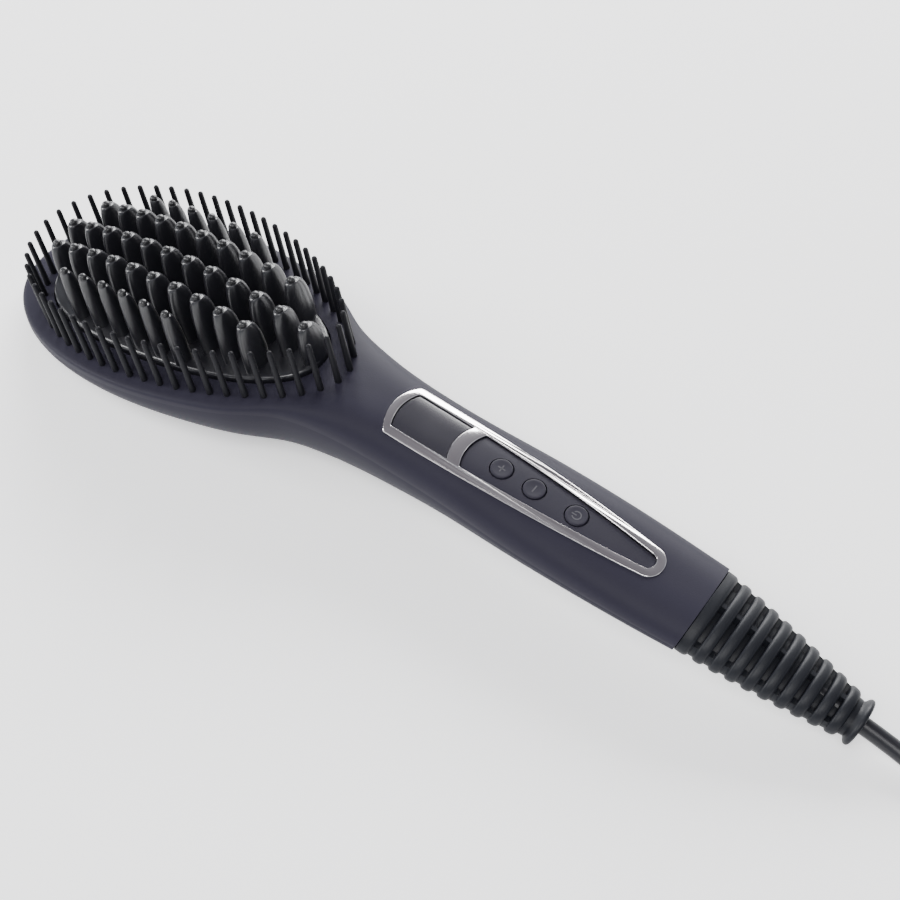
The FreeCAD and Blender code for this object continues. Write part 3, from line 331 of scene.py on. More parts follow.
def round_corners(points, radius, steps=7):
    """Replace each sharp corner of a closed outline by an arc."""
    done = []
    for i, corner in enumerate(points):
        back = Vector(points[i - 1]) - Vector(corner)
        ahead = Vector(points[(i + 1) % len(points)]) - Vector(corner)
        turn = math.pi - back.angle(ahead)
        if turn < SHARP_TURN:
            done.append(tuple(corner))
            continue
        setback = min(radius * math.tan(turn / 2), CORNER_SHARE * back.length, CORNER_SHARE * ahead.length)
        start = Vector(corner) + back.normalized() * setback
        end = Vector(corner) + ahead.normalized() * setback
        for step in range(steps + 1):
            t = step / steps
            done.append(tuple(start * (1 - t) ** 2 + Vector(corner) * 2 * t * (1 - t) + end * t ** 2))
    return done


def tail_start(end, inset, round_tail):
    """Place where the rails stop and a round tail begins."""
    return end - max(rail_half(end) - inset, SHORT_TAIL) if round_tail else end


def panel_outline(start, end, inset, bow, round_tail, radius, steps=14):
    """Closed outline in panel places: bowed head end, curved rails, round or bowed tail."""
    tail = tail_start(end, inset, round_tail)

    def half(place):
        return rail_half(place) - inset

    places = [start + (tail - start) * i / steps for i in range(steps + 1)]
    far = [(p, half(p)) for p in places]
    near = [(p, -half(p)) for p in reversed(places)]
    bend = [i / BEND_STEPS for i in range(1 - BEND_STEPS, BEND_STEPS)]
    head = [(start - bow * (1 - b * b), b * half(start)) for b in bend]
    if round_tail:
        cap = [(tail + (end - tail) * math.cos(b * math.pi / 2), -math.sin(b * math.pi / 2) * half(tail))
               for b in bend]
    else:
        cap = [(end - bow * (1 - b * b), -b * half(end)) for b in bend]
    return round_corners([Vector(p) for p in far + cap + near + head], radius)


def panel_prism(name, outline, low, high):
    rings = [[(PANEL_X + p[0], p[1], skin(PANEL_X + p[0], p[1]) + z) for p in outline] for z in (low, high)]
    return ring_piece(name, rings)


def skin(x, y):
    """Height of the handle's top surface."""
    half, top, side, square = (float(np.interp(x, fine_rows[:, 0], fine_rows[:, c])) for c in (1, 2, 3, 5))
    share = min(abs(y) / half, SKIN_EDGE)
    return side + (top - side) * (1 - share ** square) ** (1 / square)


PANEL_HEAD, PANEL_END = -PANEL_LONG / 2, PANEL_LONG / 2
BEZEL_START = PANEL_HEAD + PANEL_BOW
HEAD_CORNER = 4.0
POCKET_INSET, POCKET_SPAN = 0.2, (-3.0, 5.0)
upper = ring_piece("upper_shell", [half_ring(row, True) for row in fine_rows])
trim(upper, seam_point, seam_way)
plate_hole = ring_piece("plate_hole", [plate_ring(PLATE_GAP, z) for z in PLATE_HOLE_SPAN], deck_place)
bezel_outline = panel_outline(BEZEL_START, PANEL_END, 0.0, PANEL_BOW, True, HEAD_CORNER)
pocket_outline = panel_outline(BEZEL_START, PANEL_END - POCKET_INSET, POCKET_INSET, PANEL_BOW - POCKET_INSET,
                               True, HEAD_CORNER)
pocket = panel_prism("panel_pocket", pocket_outline, *POCKET_SPAN)
carve(upper, plate_hole, pocket)
soften(upper)
finish_piece(upper, soft_touch, "shell", "upper_housing")

# Heated plate: a die-cast aluminium plate with a hard glossy black coat, standing a little above the deck.
# Its rim is rounded, and a narrow dark gap parts it from the soft-touch deck.
PLATE_RISE, PLATE_ROUND, PLATE_FOOT, RIM_STEPS = 1.7, 0.9, -2.1, 7
FACE_INSETS = (4.0, 9.0, 15.0, 20.0)
gloss_black = moulded("gloss_black_coat", (0.008, 0.008, 0.011), (0.012, 0.012, 0.015), (0.26, 0.33), 0.02,
                      0.0012, mottle_size=0.012, specular=0.85)
plate_rings = [plate_ring(0.0, PLATE_FOOT), plate_ring(0.0, PLATE_RISE - PLATE_ROUND)]
for step in range(1, RIM_STEPS + 1):
    turn = math.pi / 2 * step / RIM_STEPS
    plate_rings.append(plate_ring(-PLATE_ROUND * (1 - math.cos(turn)),
                                  PLATE_RISE - PLATE_ROUND * (1 - math.sin(turn))))
for inset in FACE_INSETS:
    plate_rings.append(plate_ring(-inset, PLATE_RISE))
plate = ring_piece("plate", plate_rings, deck_place)
soften(plate, angle=40)
finish_piece(plate, gloss_black, "plate", "heater_plate")

# Teeth: oval blades cast in one with the plate, set across the brush in five staggered rows.
# Each one swells below its top and closes to a small round land, and the outer rows are slimmer.
TOOTH_PITCH, ROW_STEP, OUTER_ROW = 8.3, 10.2, 18.7
TOOTH_TALL, CROWN_RADIUS, CROWN_CENTRE, OUTER_DROP = 21.4, 170.0, -6.0, 1.6
TOOTH_THICK, TOOTH_BROAD, OUTER_BROAD, TOOTH_LAND, TOOTH_LEAN = 4.2, 9.2, 5.6, 1.7, 0.9
TOOTH_ROWS = ((0.0, 12, 0.0, 0.0, TOOTH_BROAD), (ROW_STEP, 10, -0.5, 0.0, TOOTH_BROAD),
              (OUTER_ROW, 6, -1.0, OUTER_DROP, OUTER_BROAD))
TOOTH_RINGS, TOOTH_STOP, ROOT_SINK = 25, 24.6, 0.3
SWELL_FALL, SWELL_BLUNT = 3.4, 0.6
LAND_EDGE = ((0.02, 0.12), (0.12, 0.03), (0.3, 0.0))


def tooth_places():
    """Place, height and breadth of each tooth on the deck."""
    places = []
    for side, count, middle, drop, broad in TOOTH_ROWS:
        for y in ((side, -side) if side else (side,)):
            for i in range(count):
                x = TOOTH_PITCH * (i - (count - 1) / 2 + middle)
                away = x - CROWN_CENTRE
                places.append((x, y, TOOTH_TALL - drop - away * away / (2 * CROWN_RADIUS), broad))
    return places


def oval(half_x, half_y, z, size):
    return [(half_x * math.cos(angle), half_y * math.sin(angle), z) for angle in round_angles(size)]


def tooth_rings(size=48):
    """Rings of the pattern tooth from its root to the edge of its land, leaning a little to one side."""
    rings = []
    root, top = PLATE_RISE - ROOT_SINK, TOOTH_TALL
    thick, broad = TOOTH_THICK / 2, TOOTH_BROAD / 2
    for step in range(TOOTH_RINGS):
        share = math.sin(math.pi / 2 * step / TOOTH_STOP)
        swell = (1 - share ** SWELL_FALL) ** SWELL_BLUNT
        lean = TOOTH_LEAN * swell
        half_x, half_y = TOOTH_LAND + (thick - TOOTH_LAND) * swell, TOOTH_LAND + (broad - TOOTH_LAND) * swell
        level = oval(half_x, half_y, root + share * (top - root), size)
        rings.append([(x, y + lean, z) for x, y, z in level])
    for inset, drop in LAND_EDGE:
        rings.append(oval(TOOTH_LAND - inset, TOOTH_LAND - inset, top - drop, size))
    return rings


def scatter_tree():
    """Geometry nodes that set a pattern piece on points, each with its own stretch."""
    tree = bpy.data.node_groups.new("set_on_points", "GeometryNodeTree")
    for name, kind in (("Points", "Geometry"), ("Pattern", "Object"), ("Finish", "Material")):
        tree.interface.new_socket(name, in_out="INPUT", socket_type=f"NodeSocket{kind}")
    tree.interface.new_socket("Pieces", in_out="OUTPUT", socket_type="NodeSocketGeometry")
    nodes, links = tree.nodes, tree.links
    given, out = nodes.new("NodeGroupInput"), nodes.new("NodeGroupOutput")
    pattern = nodes.new("GeometryNodeObjectInfo")
    links.new(given.outputs["Pattern"], pattern.inputs["Object"])
    stretch = nodes.new("GeometryNodeInputNamedAttribute")
    stretch.data_type = "FLOAT_VECTOR"
    stretch.inputs["Name"].default_value = "stretch"
    scatter = nodes.new("GeometryNodeInstanceOnPoints")
    links.new(given.outputs["Points"], scatter.inputs["Points"])
    links.new(pattern.outputs["Geometry"], scatter.inputs["Instance"])
    links.new(stretch.outputs["Attribute"], scatter.inputs["Scale"])
    real = nodes.new("GeometryNodeRealizeInstances")
    links.new(scatter.outputs["Instances"], real.inputs["Geometry"])
    paint = nodes.new("GeometryNodeSetMaterial")
    links.new(real.outputs["Geometry"], paint.inputs["Geometry"])
    links.new(given.outputs["Finish"], paint.inputs["Material"])
    links.new(paint.outputs["Geometry"], out.inputs["Pieces"])
    return tree


SCATTER = scatter_tree()


def scatter(name, pattern, spots, finish, angle):
    """Repeat a pattern piece at spots of the deck, given as place and stretch."""
    mesh = bpy.data.meshes.new(name)
    mesh.from_pydata([Vector(place) * MM for place, stretch in spots], [], [])
    stretches = mesh.attributes.new("stretch", "FLOAT_VECTOR", "POINT")
    stretches.data.foreach_set("vector", [c for place, stretch in spots for c in stretch])
    piece = bpy.data.objects.new(name, mesh)
    bpy.context.scene.collection.objects.link(piece)
    modifier = piece.modifiers.new("set", "NODES")
    modifier.node_group = SCATTER
    sockets = {item.name: item.identifier for item in SCATTER.interface.items_tree}
    modifier[sockets["Pattern"]] = pattern
    modifier[sockets["Finish"]] = finish
    graph = bpy.context.evaluated_depsgraph_get()
    real = bpy.data.meshes.new_from_object(piece.evaluated_get(graph))
    piece.modifiers.clear()
    piece.data = real
    bpy.data.objects.remove(pattern)
    tilt = Matrix.Translation((0, 0, DECK_HEIGHT * MM)) @ Matrix.Rotation(-TILT, 4, "Y")
    real.transform(tilt)
    soften(piece, angle)
    return piece


tooth_pattern = ring_piece("tooth_pattern", tooth_rings())
teeth = scatter("teeth", tooth_pattern, [((x, y, 0), (1.0, broad / TOOTH_BROAD, tall / TOOTH_TALL))
                                         for x, y, tall, broad in tooth_places()], gloss_black, angle=60)
finish_piece(teeth, gloss_black, "plate", "plate_teeth")

# Tooth tips: small round plugs of heat-proof plastic pressed into the land of each tooth,
# so that the scalp never meets the hot coat.
NUB_RADIUS, NUB_TALL, NUB_FOOT, NUB_SIDE, NUB_SIZE = 1.1, 1.3, -0.2, 0.7, 16
DOME_STEPS, NUB_STOP = 5, 5.5
nub_plastic = moulded("satin_tip_plastic", (0.013, 0.013, 0.014), (0.02, 0.02, 0.022), (0.28, 0.38), 0.2,
                      0.0004)
nub_rings = [oval(NUB_RADIUS, NUB_RADIUS, z, NUB_SIZE) for z in (NUB_FOOT, NUB_SIDE)]
for step in range(1, DOME_STEPS + 1):
    turn = math.pi / 2 * step / NUB_STOP
    dome = NUB_RADIUS * math.cos(turn)
    nub_rings.append(oval(dome, dome, NUB_SIDE + (NUB_TALL - NUB_SIDE) * math.sin(turn), NUB_SIZE))
tips = scatter("tips", ring_piece("tip_pattern", nub_rings),
               [((x, y, tall), (1.0, 1.0, 1.0)) for x, y, tall, broad in tooth_places()],
               nub_plastic, angle=40)
finish_piece(tips, nub_plastic, "nubs", "tooth_tips")

# Guard bristles: stiff nylon pins with round ends, moulded on a band under the deck.
# They come up through holes round the plate, evenly spaced along the egg of the rim.
BRISTLE_COUNT, BRISTLE_LONG, BRISTLE_SIZE = 52, 16.4, 14
BRISTLE_CENTRE, RING_LONG, RING_WIDE, RING_EGG, RING_STEPS = 0.3, 56.4, 29.5, 0.205, 1440
BRISTLE_ROOT, BRISTLE_END, BRISTLE_STOP = 0.95, 0.8, 5.4
BRISTLE_FOOT = (-0.4, 0.6)
nylon = moulded("satin_black_nylon", (0.007, 0.007, 0.009), (0.011, 0.011, 0.014), (0.44, 0.54), 0.2, 0.0005,
                specular=0.15)


def bristle_spots():
    """Even places along the egg of the rim."""
    fine = []
    for step in range(RING_STEPS + 1):
        angle = 2 * math.pi * step / RING_STEPS
        fine.append(Vector((BRISTLE_CENTRE + RING_LONG * math.cos(angle),
                            RING_WIDE * math.sin(angle) * (1 - RING_EGG * math.cos(angle)), 0)))
    runs = np.concatenate([[0], np.cumsum([(b - a).length for a, b in zip(fine, fine[1:])])])
    goals = [runs[-1] * (i + 0.5) / BRISTLE_COUNT for i in range(BRISTLE_COUNT)]
    return [fine[int(np.searchsorted(runs, goal))] for goal in goals]


bristle_rings = [oval(BRISTLE_ROOT, BRISTLE_ROOT, z, BRISTLE_SIZE) for z in BRISTLE_FOOT]
bristle_rings.append(oval(BRISTLE_END, BRISTLE_END, BRISTLE_LONG - BRISTLE_END, BRISTLE_SIZE))
for step in range(1, DOME_STEPS + 1):
    turn = math.pi / 2 * step / BRISTLE_STOP
    dome = BRISTLE_END * math.cos(turn)
    bristle_rings.append(oval(dome, dome, BRISTLE_LONG - BRISTLE_END * (1 - math.sin(turn)), BRISTLE_SIZE))
bristles = scatter("bristles", ring_piece("bristle_pattern", bristle_rings),
                   [(spot, (1.0, 1.0, 1.0)) for spot in bristle_spots()], nylon, angle=45)
finish_piece(bristles, nylon, "bristles", "guard_bristles")

# Bezel: a chromed plastic frame let into the handle, with one bar between display and buttons.
# Its face follows the crown of the handle and stands a little proud, with fine rounded edges.
BEZEL_PROUD, BEZEL_EDGE, BEZEL_THICK = 0.4, 0.3, 2.2
DISPLAY_LONG, BAR_WIDE, WINDOW_CORNER = 18.2, 4.0, 1.2
DISPLAY_START = PANEL_HEAD + RAIL + PANEL_BOW / 2
DISPLAY_END = DISPLAY_START + DISPLAY_LONG
BUTTONS_START, BUTTONS_END = DISPLAY_END + BAR_WIDE, PANEL_END - RAIL
chrome = moulded("warm_chrome", (0.76, 0.73, 0.73), (0.84, 0.81, 0.81), (0.1, 0.16), 0.04, 0.003,
                 metallic=1.0)
display_outline = panel_outline(DISPLAY_START, DISPLAY_END, RAIL, PANEL_BOW / 2, False, WINDOW_CORNER)
buttons_outline = panel_outline(BUTTONS_START, BUTTONS_END, RAIL, PANEL_BOW / 2, True, WINDOW_CORNER)


def frame_piece(name, outlines, thick, edge, lift):
    """A flat frame with holes and rounded edges, bent onto the crown of the handle."""
    curve = bpy.data.curves.new(name, "CURVE")
    curve.dimensions = "2D"
    curve.fill_mode = "BOTH"
    curve.extrude = thick / 2
    curve.bevel_depth = edge
    curve.bevel_resolution = 3
    curve.offset = -edge
    for outline in outlines:
        run = curve.splines.new("POLY")
        run.points.add(len(outline) - 1)
        for point, (p, y) in zip(run.points, outline):
            point.co = (PANEL_X + p, y, 0, 1)
        run.use_cyclic_u = True
    holder = bpy.data.objects.new(name, curve)
    bpy.context.scene.collection.objects.link(holder)
    mesh = bpy.data.meshes.new_from_object(holder.evaluated_get(bpy.context.evaluated_depsgraph_get()))
    bpy.data.objects.remove(holder)
    points = [(v.co.x, v.co.y, skin(v.co.x, v.co.y) + v.co.z + lift - thick / 2 - edge)
              for v in mesh.vertices]
    piece = make_piece(name, points, [tuple(f.vertices) for f in mesh.polygons])
    bpy.data.meshes.remove(mesh)
    return piece


bezel = frame_piece("bezel", [bezel_outline, display_outline, buttons_outline], BEZEL_THICK, BEZEL_EDGE,
                    BEZEL_PROUD)
soften(bezel, angle=12)
finish_piece(bezel, chrome, "trim", "bezel_frame")

# Display window: a smoked lens, satin outside, curved with the handle and set just below the bezel.
# It is moulded in dark tinted plastic, and the bezel holds it by its rim.
LENS_SINK, LENS_THICK, LENS_EDGE, PANE_GAP = 0.15, 1.4, 0.35, 0.1
RIM_SHARE, RIM_LEAST, NARROWEST = 0.9, 0.001, 0.01
lens_finish = moulded("smoked_lens", (0.015, 0.014, 0.02), (0.02, 0.019, 0.0255), (0.2, 0.26), 0.05, 0.002,
                      mottle_size=0.012, specular=0.8)


def grid_plate(name, start, end, inset, bow, thick, edge, lift, round_tail, across=28, along=60):
    """A closed plate in rows across the handle, crowned with it, with rounded rims."""
    tail = tail_start(end, inset, round_tail)

    def half(place):
        if round_tail and place > tail:
            share = min(1.0, (place - tail) / (end - tail))
            return (rail_half(tail) - inset) * math.sqrt(max(0.0, 1 - share * share))
        return rail_half(place) - inset

    def row(s, t, z):
        first = start - bow * (1 - t * t)
        last = end if round_tail else end - bow * (1 - t * t)
        place = first + (last - first) * s
        y = t * max(half(place), NARROWEST)
        rim = min((1 - abs(t)) * half(place), (place - first) * RIM_SHARE + RIM_LEAST,
                  (last - place) * RIM_SHARE + RIM_LEAST)
        drop = edge * (1 - math.sqrt(max(0.0, 1 - max(0.0, 1 - rim / edge) ** 2)))
        x = PANEL_X + place
        return (x, y, skin(x, y) + lift - (drop if z == 0 else thick))

    steps_t = sorted({round(math.sin(math.pi / 2 * (2 * i / across - 1)), 5) for i in range(across + 1)})
    steps_s = sorted({round(0.5 - 0.5 * math.cos(math.pi * i / along), 5) for i in range(along + 1)})
    points, faces = [], []
    for z in (0, 1):
        for s in steps_s:
            points += [row(s, t, z) for t in steps_t]
    wide, high = len(steps_t), len(steps_s)
    layer = wide * high
    for i in range(high - 1):
        for j in range(wide - 1):
            a = i * wide + j
            faces.append((a, a + 1, a + wide + 1, a + wide))
            faces.append((layer + a, layer + a + wide, layer + a + wide + 1, layer + a + 1))
    border = list(range(wide)) + [i * wide + wide - 1 for i in range(1, high)]
    border += [(high - 1) * wide + j for j in range(wide - 2, -1, -1)]
    border += [i * wide for i in range(high - 2, 0, -1)]
    for a, b in zip(border, border[1:] + border[:1]):
        faces.append((a, b, layer + b, layer + a))
    return make_piece(name, points, faces)


lens = grid_plate("lens", DISPLAY_START + PANE_GAP, DISPLAY_END - PANE_GAP, RAIL + PANE_GAP, PANEL_BOW / 2,
                  LENS_THICK, LENS_EDGE, -LENS_SINK, False)
soften(lens, angle=40)
finish_piece(lens, lens_finish, "lens", "display_window")

# Button panel: a satin plate in the long window of the bezel, with a round hole for each button.
# It is moulded in the same plastic as the buttons and lies a little lower than the rails.
SHEET_SINK, SHEET_THICK, SHEET_EDGE = 0.3, 1.2, 0.3
BUTTON_RADIUS, BUTTON_GAP, HOLE_REACH = 3.1, 0.28, 4
BUTTONS = {"plus": -7.0, "minus": 3.3, "power": 16.4}
key_plastic = moulded("satin_key_plastic", (0.012, 0.0108, 0.019), (0.016, 0.0145, 0.024), (0.42, 0.5), 0.2,
                      0.0004, specular=0.2)
sheet = grid_plate("button_sheet", BUTTONS_START + PANE_GAP, BUTTONS_END - PANE_GAP, RAIL + PANE_GAP,
                   PANEL_BOW / 2, SHEET_THICK, SHEET_EDGE, -SHEET_SINK, True)
holes = []
for name, place in BUTTONS.items():
    x = PANEL_X + place
    top = skin(x, 0)
    holes.append(ring_piece(f"{name}_hole", disc(x, 0, BUTTON_RADIUS + BUTTON_GAP, top - HOLE_REACH,
                                                 top + HOLE_REACH)))
carve(sheet, *holes)
soften(sheet, angle=40)
finish_piece(sheet, key_plastic, "keys", "button_panel")

# Push buttons: round satin caps with a faint dished face, each held by a flange under the panel.
# A faint grey mark is printed on each: plus, minus and the power sign.
CAP_SIZE, CAP_SINK, CAP_SLOPE = 56, 0.05, 0.068
CAP_PROFILE = (
    (BUTTON_RADIUS + 0.6, -2.0), (BUTTON_RADIUS + 0.6, -1.7), (BUTTON_RADIUS, -1.6), (BUTTON_RADIUS, -0.3),
    (BUTTON_RADIUS - 0.05, -0.12), (BUTTON_RADIUS - 0.16, -0.03), (BUTTON_RADIUS - 0.32, 0.0),
    (BUTTON_RADIUS - 1.0, -0.05), (BUTTON_RADIUS - 2.0, -0.09), (0.4, -0.1),
)
MARK_SINK, MARK_REACH, MARK_HALF = 0.055, 1.15, 0.2
POWER_BAR, POWER_HALF = 0.75, 0.17
POWER_RADIUS, POWER_WIDTH, POWER_GAP = 1.35, 0.34, 0.62
mark_ink = moulded("grey_mark_ink", (0.027, 0.026, 0.035), (0.035, 0.034, 0.043), (0.42, 0.5), 0.1, 0.0005)


def bar(x, half_x, half_y):
    return [(x - half_x, -half_y), (x + half_x, -half_y), (x + half_x, half_y), (x - half_x, half_y)]


def arc_band(radius, width, start, end, steps=22):
    """Outer and inner edge points of a band along an arc."""
    turns = [start + (end - start) * i / steps for i in range(steps + 1)]
    return [[(r * math.cos(a), r * math.sin(a)) for a in turns] for r in (radius, radius - width)]


MARK_BARS = {
    "plus": (bar(0, MARK_REACH, MARK_HALF), bar(0, MARK_HALF, MARK_REACH)),
    "minus": (bar(0, MARK_HALF, MARK_REACH),),
    "power": (bar(-POWER_BAR, POWER_BAR, POWER_HALF),),
}
for name, place in BUTTONS.items():
    x = PANEL_X + place
    crown = skin(x, 0) - CAP_SINK
    rings = []
    for radius, z in CAP_PROFILE:
        rings.append([(x + radius * math.cos(angle), radius * math.sin(angle),
                       crown + z - CAP_SLOPE * radius * math.cos(angle)) for angle in round_angles(CAP_SIZE)])
    cap = ring_piece(f"{name}_cap", rings)
    soften(cap, angle=40)
    finish_piece(cap, key_plastic, "keys", f"{name}_button", body=f"{name}_key")
    flat, faces = [], []
    for shape in MARK_BARS[name]:
        faces.append(tuple(range(len(flat), len(flat) + len(shape))))
        flat += shape
    if name == "power":
        outer, inner = arc_band(POWER_RADIUS, POWER_WIDTH, math.pi + POWER_GAP,
                                math.pi + 2 * math.pi - POWER_GAP)
        low, size = len(flat), len(outer)
        flat += outer + inner
        faces += [(low + i, low + i + 1, low + size + i + 1, low + size + i) for i in range(size - 1)]
    points = [(x + u, v, crown - MARK_SINK - CAP_SLOPE * u) for u, v in flat]
    mark = make_piece(f"{name}_mark", points, faces)
    finish_piece(mark, mark_ink, "keys", body=f"{name}_key")

# Cord sleeve: a flexible rubber boot, flat where it meets the handle and round at its collar.
# Ribs and slots let it bend; the slots leave a thin bridge a little off the middle of the top.
SLEEVE_LONG, COLLAR_LONG, RIBS = 47.5, 3.0, 10
SLEEVE_HALF, SLEEVE_CURVE = ((6.7, 13.5), (4.9, 6.7)), 1.35
COLLAR_HALF = (5.7, 6.9)
RIB_DEPTH, SLOT_DEPTH = 0.95, 2.3
SLOT_SIDE, BRIDGE_WIDE, OPEN_GAPS = 0.9, 2.2, (6, 8)
SLEEVE_LEAD = ((0.0, 0.35), (0.25, 0.05))
RIB_RISE = ((0.1, 0.72), (0.14, 0.45), (0.2, 0.2), (0.28, 0.05))
RIB_FALL = ((0.38, 0.0), (0.52, 0.0), (0.61, 0.05), (0.69, 0.2), (0.75, 0.45), (0.785, 0.72))
SLOT_SPAN, GROOVE_SINK, LAST_SINK = (0.79, 1.09), 0.8, 1.2
COLLAR_PROFILE = ((0.3, 0.74), (0.9, 0.8), (1.4, 0.93), (1.8, 0.985), (2.2, 1.0), (2.6, 0.985), (2.9, 0.93),
                  (3.0, 0.85), (3.0, 0.45))
boot_rubber = moulded("satin_boot_rubber", (0.006, 0.007, 0.010), (0.009, 0.010, 0.014), (0.42, 0.52), 0.3,
                      0.0005, specular=0.25)
sleeve_place = Matrix.Translation(seam_point) @ Matrix.Rotation(math.radians(90 + SLEEVE_DROOP), 4, "Y")
RIB_RUN = SLEEVE_LONG - COLLAR_LONG
RIB_STEP = RIB_RUN / RIBS
SLEEVE_SIZE = 120


def sleeve_ring(z, sink, gap=None):
    """Oval ring at a depth below the rib line, deeper where the slot of a gap passes."""
    share = min(z / RIB_RUN, 1.0)
    (flat, wide), (thin, slim) = SLEEVE_HALF
    half_x, half_y = flat + share * (thin - flat), wide + share ** SLEEVE_CURVE * (slim - wide)
    ring = []
    for angle in round_angles(SLEEVE_SIZE):
        x, y = -math.cos(angle), math.sin(angle)
        bridge = gap not in OPEN_GAPS and 0.0 < y * half_y < BRIDGE_WIDE
        slotted = gap is not None and abs(y) < SLOT_SIDE and not bridge
        depth = sink + SLOT_DEPTH if slotted else sink
        ring.append(((half_x - depth) * x, (half_y - depth) * y, z))
    return ring


def collar_ring(z, scale):
    half_x, half_y = COLLAR_HALF[0] * scale, COLLAR_HALF[1] * scale
    return [(-half_x * math.cos(angle), half_y * math.sin(angle), z) for angle in round_angles(SLEEVE_SIZE)]


sleeve_rings = [sleeve_ring(z, sink) for z, sink in SLEEVE_LEAD]
for rib in range(RIBS):
    base = rib * RIB_STEP
    for share, sink in (RIB_RISE if rib else ()) + RIB_FALL:
        sleeve_rings.append(sleeve_ring(base + share * RIB_STEP, RIB_DEPTH * sink))
    sink, gap = (GROOVE_SINK, rib + 1) if rib < RIBS - 1 else (LAST_SINK, None)
    for share in SLOT_SPAN:
        sleeve_rings.append(sleeve_ring(base + share * RIB_STEP, RIB_DEPTH * sink, gap))
sleeve_rings += [collar_ring(RIB_RUN + z, scale) for z, scale in COLLAR_PROFILE]
sleeve = ring_piece("sleeve", sleeve_rings, sleeve_place)
soften(sleeve, angle=45)
finish_piece(sleeve, boot_rubber, "rubber", "strain_relief")

# Plug: a flat two-pin plug in satin rubber, moulded on the cord with a short ribbed sleeve.
# Its round pins are nickel plated, and a dark plastic collar covers the first half of each.
PLUG_START, PLUG_TURN = Vector((333.0, -25.0, 7.6)), math.radians(40.0)
PLUG_ROUND = 2.0
PLUG_MOUTH = ((2.45, 0.0), (3.2, 0.0), (3.6, 0.5))
PLUG_RIBS, FIRST_RIB, PLUG_RIB_STEP = 5, 1.2, 3.2
PLUG_RIB = ((3.6, 0.0), (3.15, 0.5), (3.15, 1.3), (3.6, 1.8))
PLUG_PROFILE = (
    (17.6, 3.7, 3.9, 2.0), (18.2, 4.6, 5.4, 2.1), (20.5, 5.6, 7.6, 2.2), (25.0, 6.9, 10.9, 2.3),
    (30.0, 7.5, 12.8, 2.4), (36.0, 7.4, 12.9, 2.4), (44.0, 6.8, 12.9, 2.4), (50.6, 6.2, 12.8, 2.4),
    (51.6, 5.9, 12.5, 2.4), (52.0, 5.3, 11.9, 2.4),
)
PIN_SPREAD, PIN_SIZE = 9.3, 32
PIN_PROFILE = ((2.0, 51.0), (2.0, 70.0), (1.85, 70.6), (1.4, 70.95), (0.6, 71.0))
PIN_COLLAR_PROFILE = ((2.02, 51.0), (2.03, 61.0), (2.0, 61.1))
plug_spin = Matrix.Rotation(PLUG_TURN, 4, "Z")
plug_place = Matrix.Translation(PLUG_START) @ plug_spin @ Matrix.Rotation(math.pi / 2, 4, "Y")
plug_rubber = moulded("satin_plug_rubber", (0.024, 0.024, 0.027), (0.031, 0.031, 0.035), (0.38, 0.46), 0.25,
                      0.0006)


def squared(half_x, half_y, z, square, size=72):
    """An oval ring with fuller corners than an ellipse."""
    ring = []
    for angle in round_angles(size):
        ring.append((half_x * math.copysign(abs(math.cos(angle)) ** (2 / square), math.cos(angle)),
                     half_y * math.copysign(abs(math.sin(angle)) ** (2 / square), math.sin(angle)), z))
    return ring


plug_rings = [squared(radius, radius, z, PLUG_ROUND) for radius, z in PLUG_MOUTH]
for rib in range(PLUG_RIBS):
    base = FIRST_RIB + rib * PLUG_RIB_STEP
    plug_rings += [squared(radius, radius, base + z, PLUG_ROUND) for radius, z in PLUG_RIB]
plug_rings += [squared(half_x, half_y, z, square) for z, half_x, half_y, square in PLUG_PROFILE]
plug = ring_piece("plug", plug_rings, plug_place)
soften(plug, angle=40)
finish_piece(plug, plug_rubber, "rubber", "plug_body")
nickel = moulded("nickel_pin", (0.60, 0.57, 0.50), (0.68, 0.65, 0.58), (0.2, 0.3), 0.08, 0.002, metallic=1.0)
pin_collar = moulded("pin_collar_plastic", (0.03, 0.03, 0.033), (0.04, 0.04, 0.044), (0.4, 0.5), 0.2, 0.0005)


def pin_pair(name, profile):
    """The same turned form on both pins, as one piece."""
    points, faces = [], []
    for y in (PIN_SPREAD, -PIN_SPREAD):
        low = len(points)
        points += [(p[0], p[1] + y, z) for radius, z in profile for p in oval(radius, radius, z, PIN_SIZE)]
        faces += [tuple(low + i for i in face) for face in ring_faces(len(profile), PIN_SIZE)]
    piece = make_piece(name, points, faces, plug_place)
    soften(piece, angle=40)
    return piece


plug_pins = pin_pair("plug_prongs", PIN_PROFILE)
finish_piece(plug_pins, nickel, "brass", "plug_pins")
prong_collars = pin_pair("prong_collars", PIN_COLLAR_PROFILE)
finish_piece(prong_collars, pin_collar, "rubber")

# Mains cord: round black rubber flex, out of the collar, along the surface and into a tied coil.
# The route goes in by four and a quarter turns, up half a turn, and out again to the plug.
CORD_RADIUS, STRAP_ROOM = 2.4, 1.5
COIL_CENTRE, COIL_INNER, TURN_PITCH = (296.0, 9.0), 18.5, 5.5
CLIMB_START, CLIMB_END, TURNS, STEPS_PER_TURN = 4.25, 4.75, 9.0, 16
COIL_OUTER = COIL_INNER + TURN_PITCH * CLIMB_START
COIL_LOW = STRAP_ROOM + CORD_RADIUS
CORD_LINE = COIL_CENTRE[1] - COIL_OUTER
REACH_OUT = 1 / math.cos(math.pi / STEPS_PER_TURN)
RUN_OUT, RUN_IN, COIL_LEAD, TAIL_PARTS = 14.725, 14.25, 4.8, 4
FLOOR_POINTS = (Vector((243.0, -4.0, 2.5)), Vector((262.0, -24.0, 2.5)))
cord_rubber = moulded("satin_cord_rubber", (0.009, 0.009, 0.012), (0.013, 0.013, 0.017), (0.32, 0.42), 0.25,
                      0.0007, specular=0.35)
collar_end = Vector(seam_point) + seam_way * SLEEVE_LONG
coil_start = Vector((COIL_CENTRE[0] - COIL_LEAD, CORD_LINE, COIL_LOW))
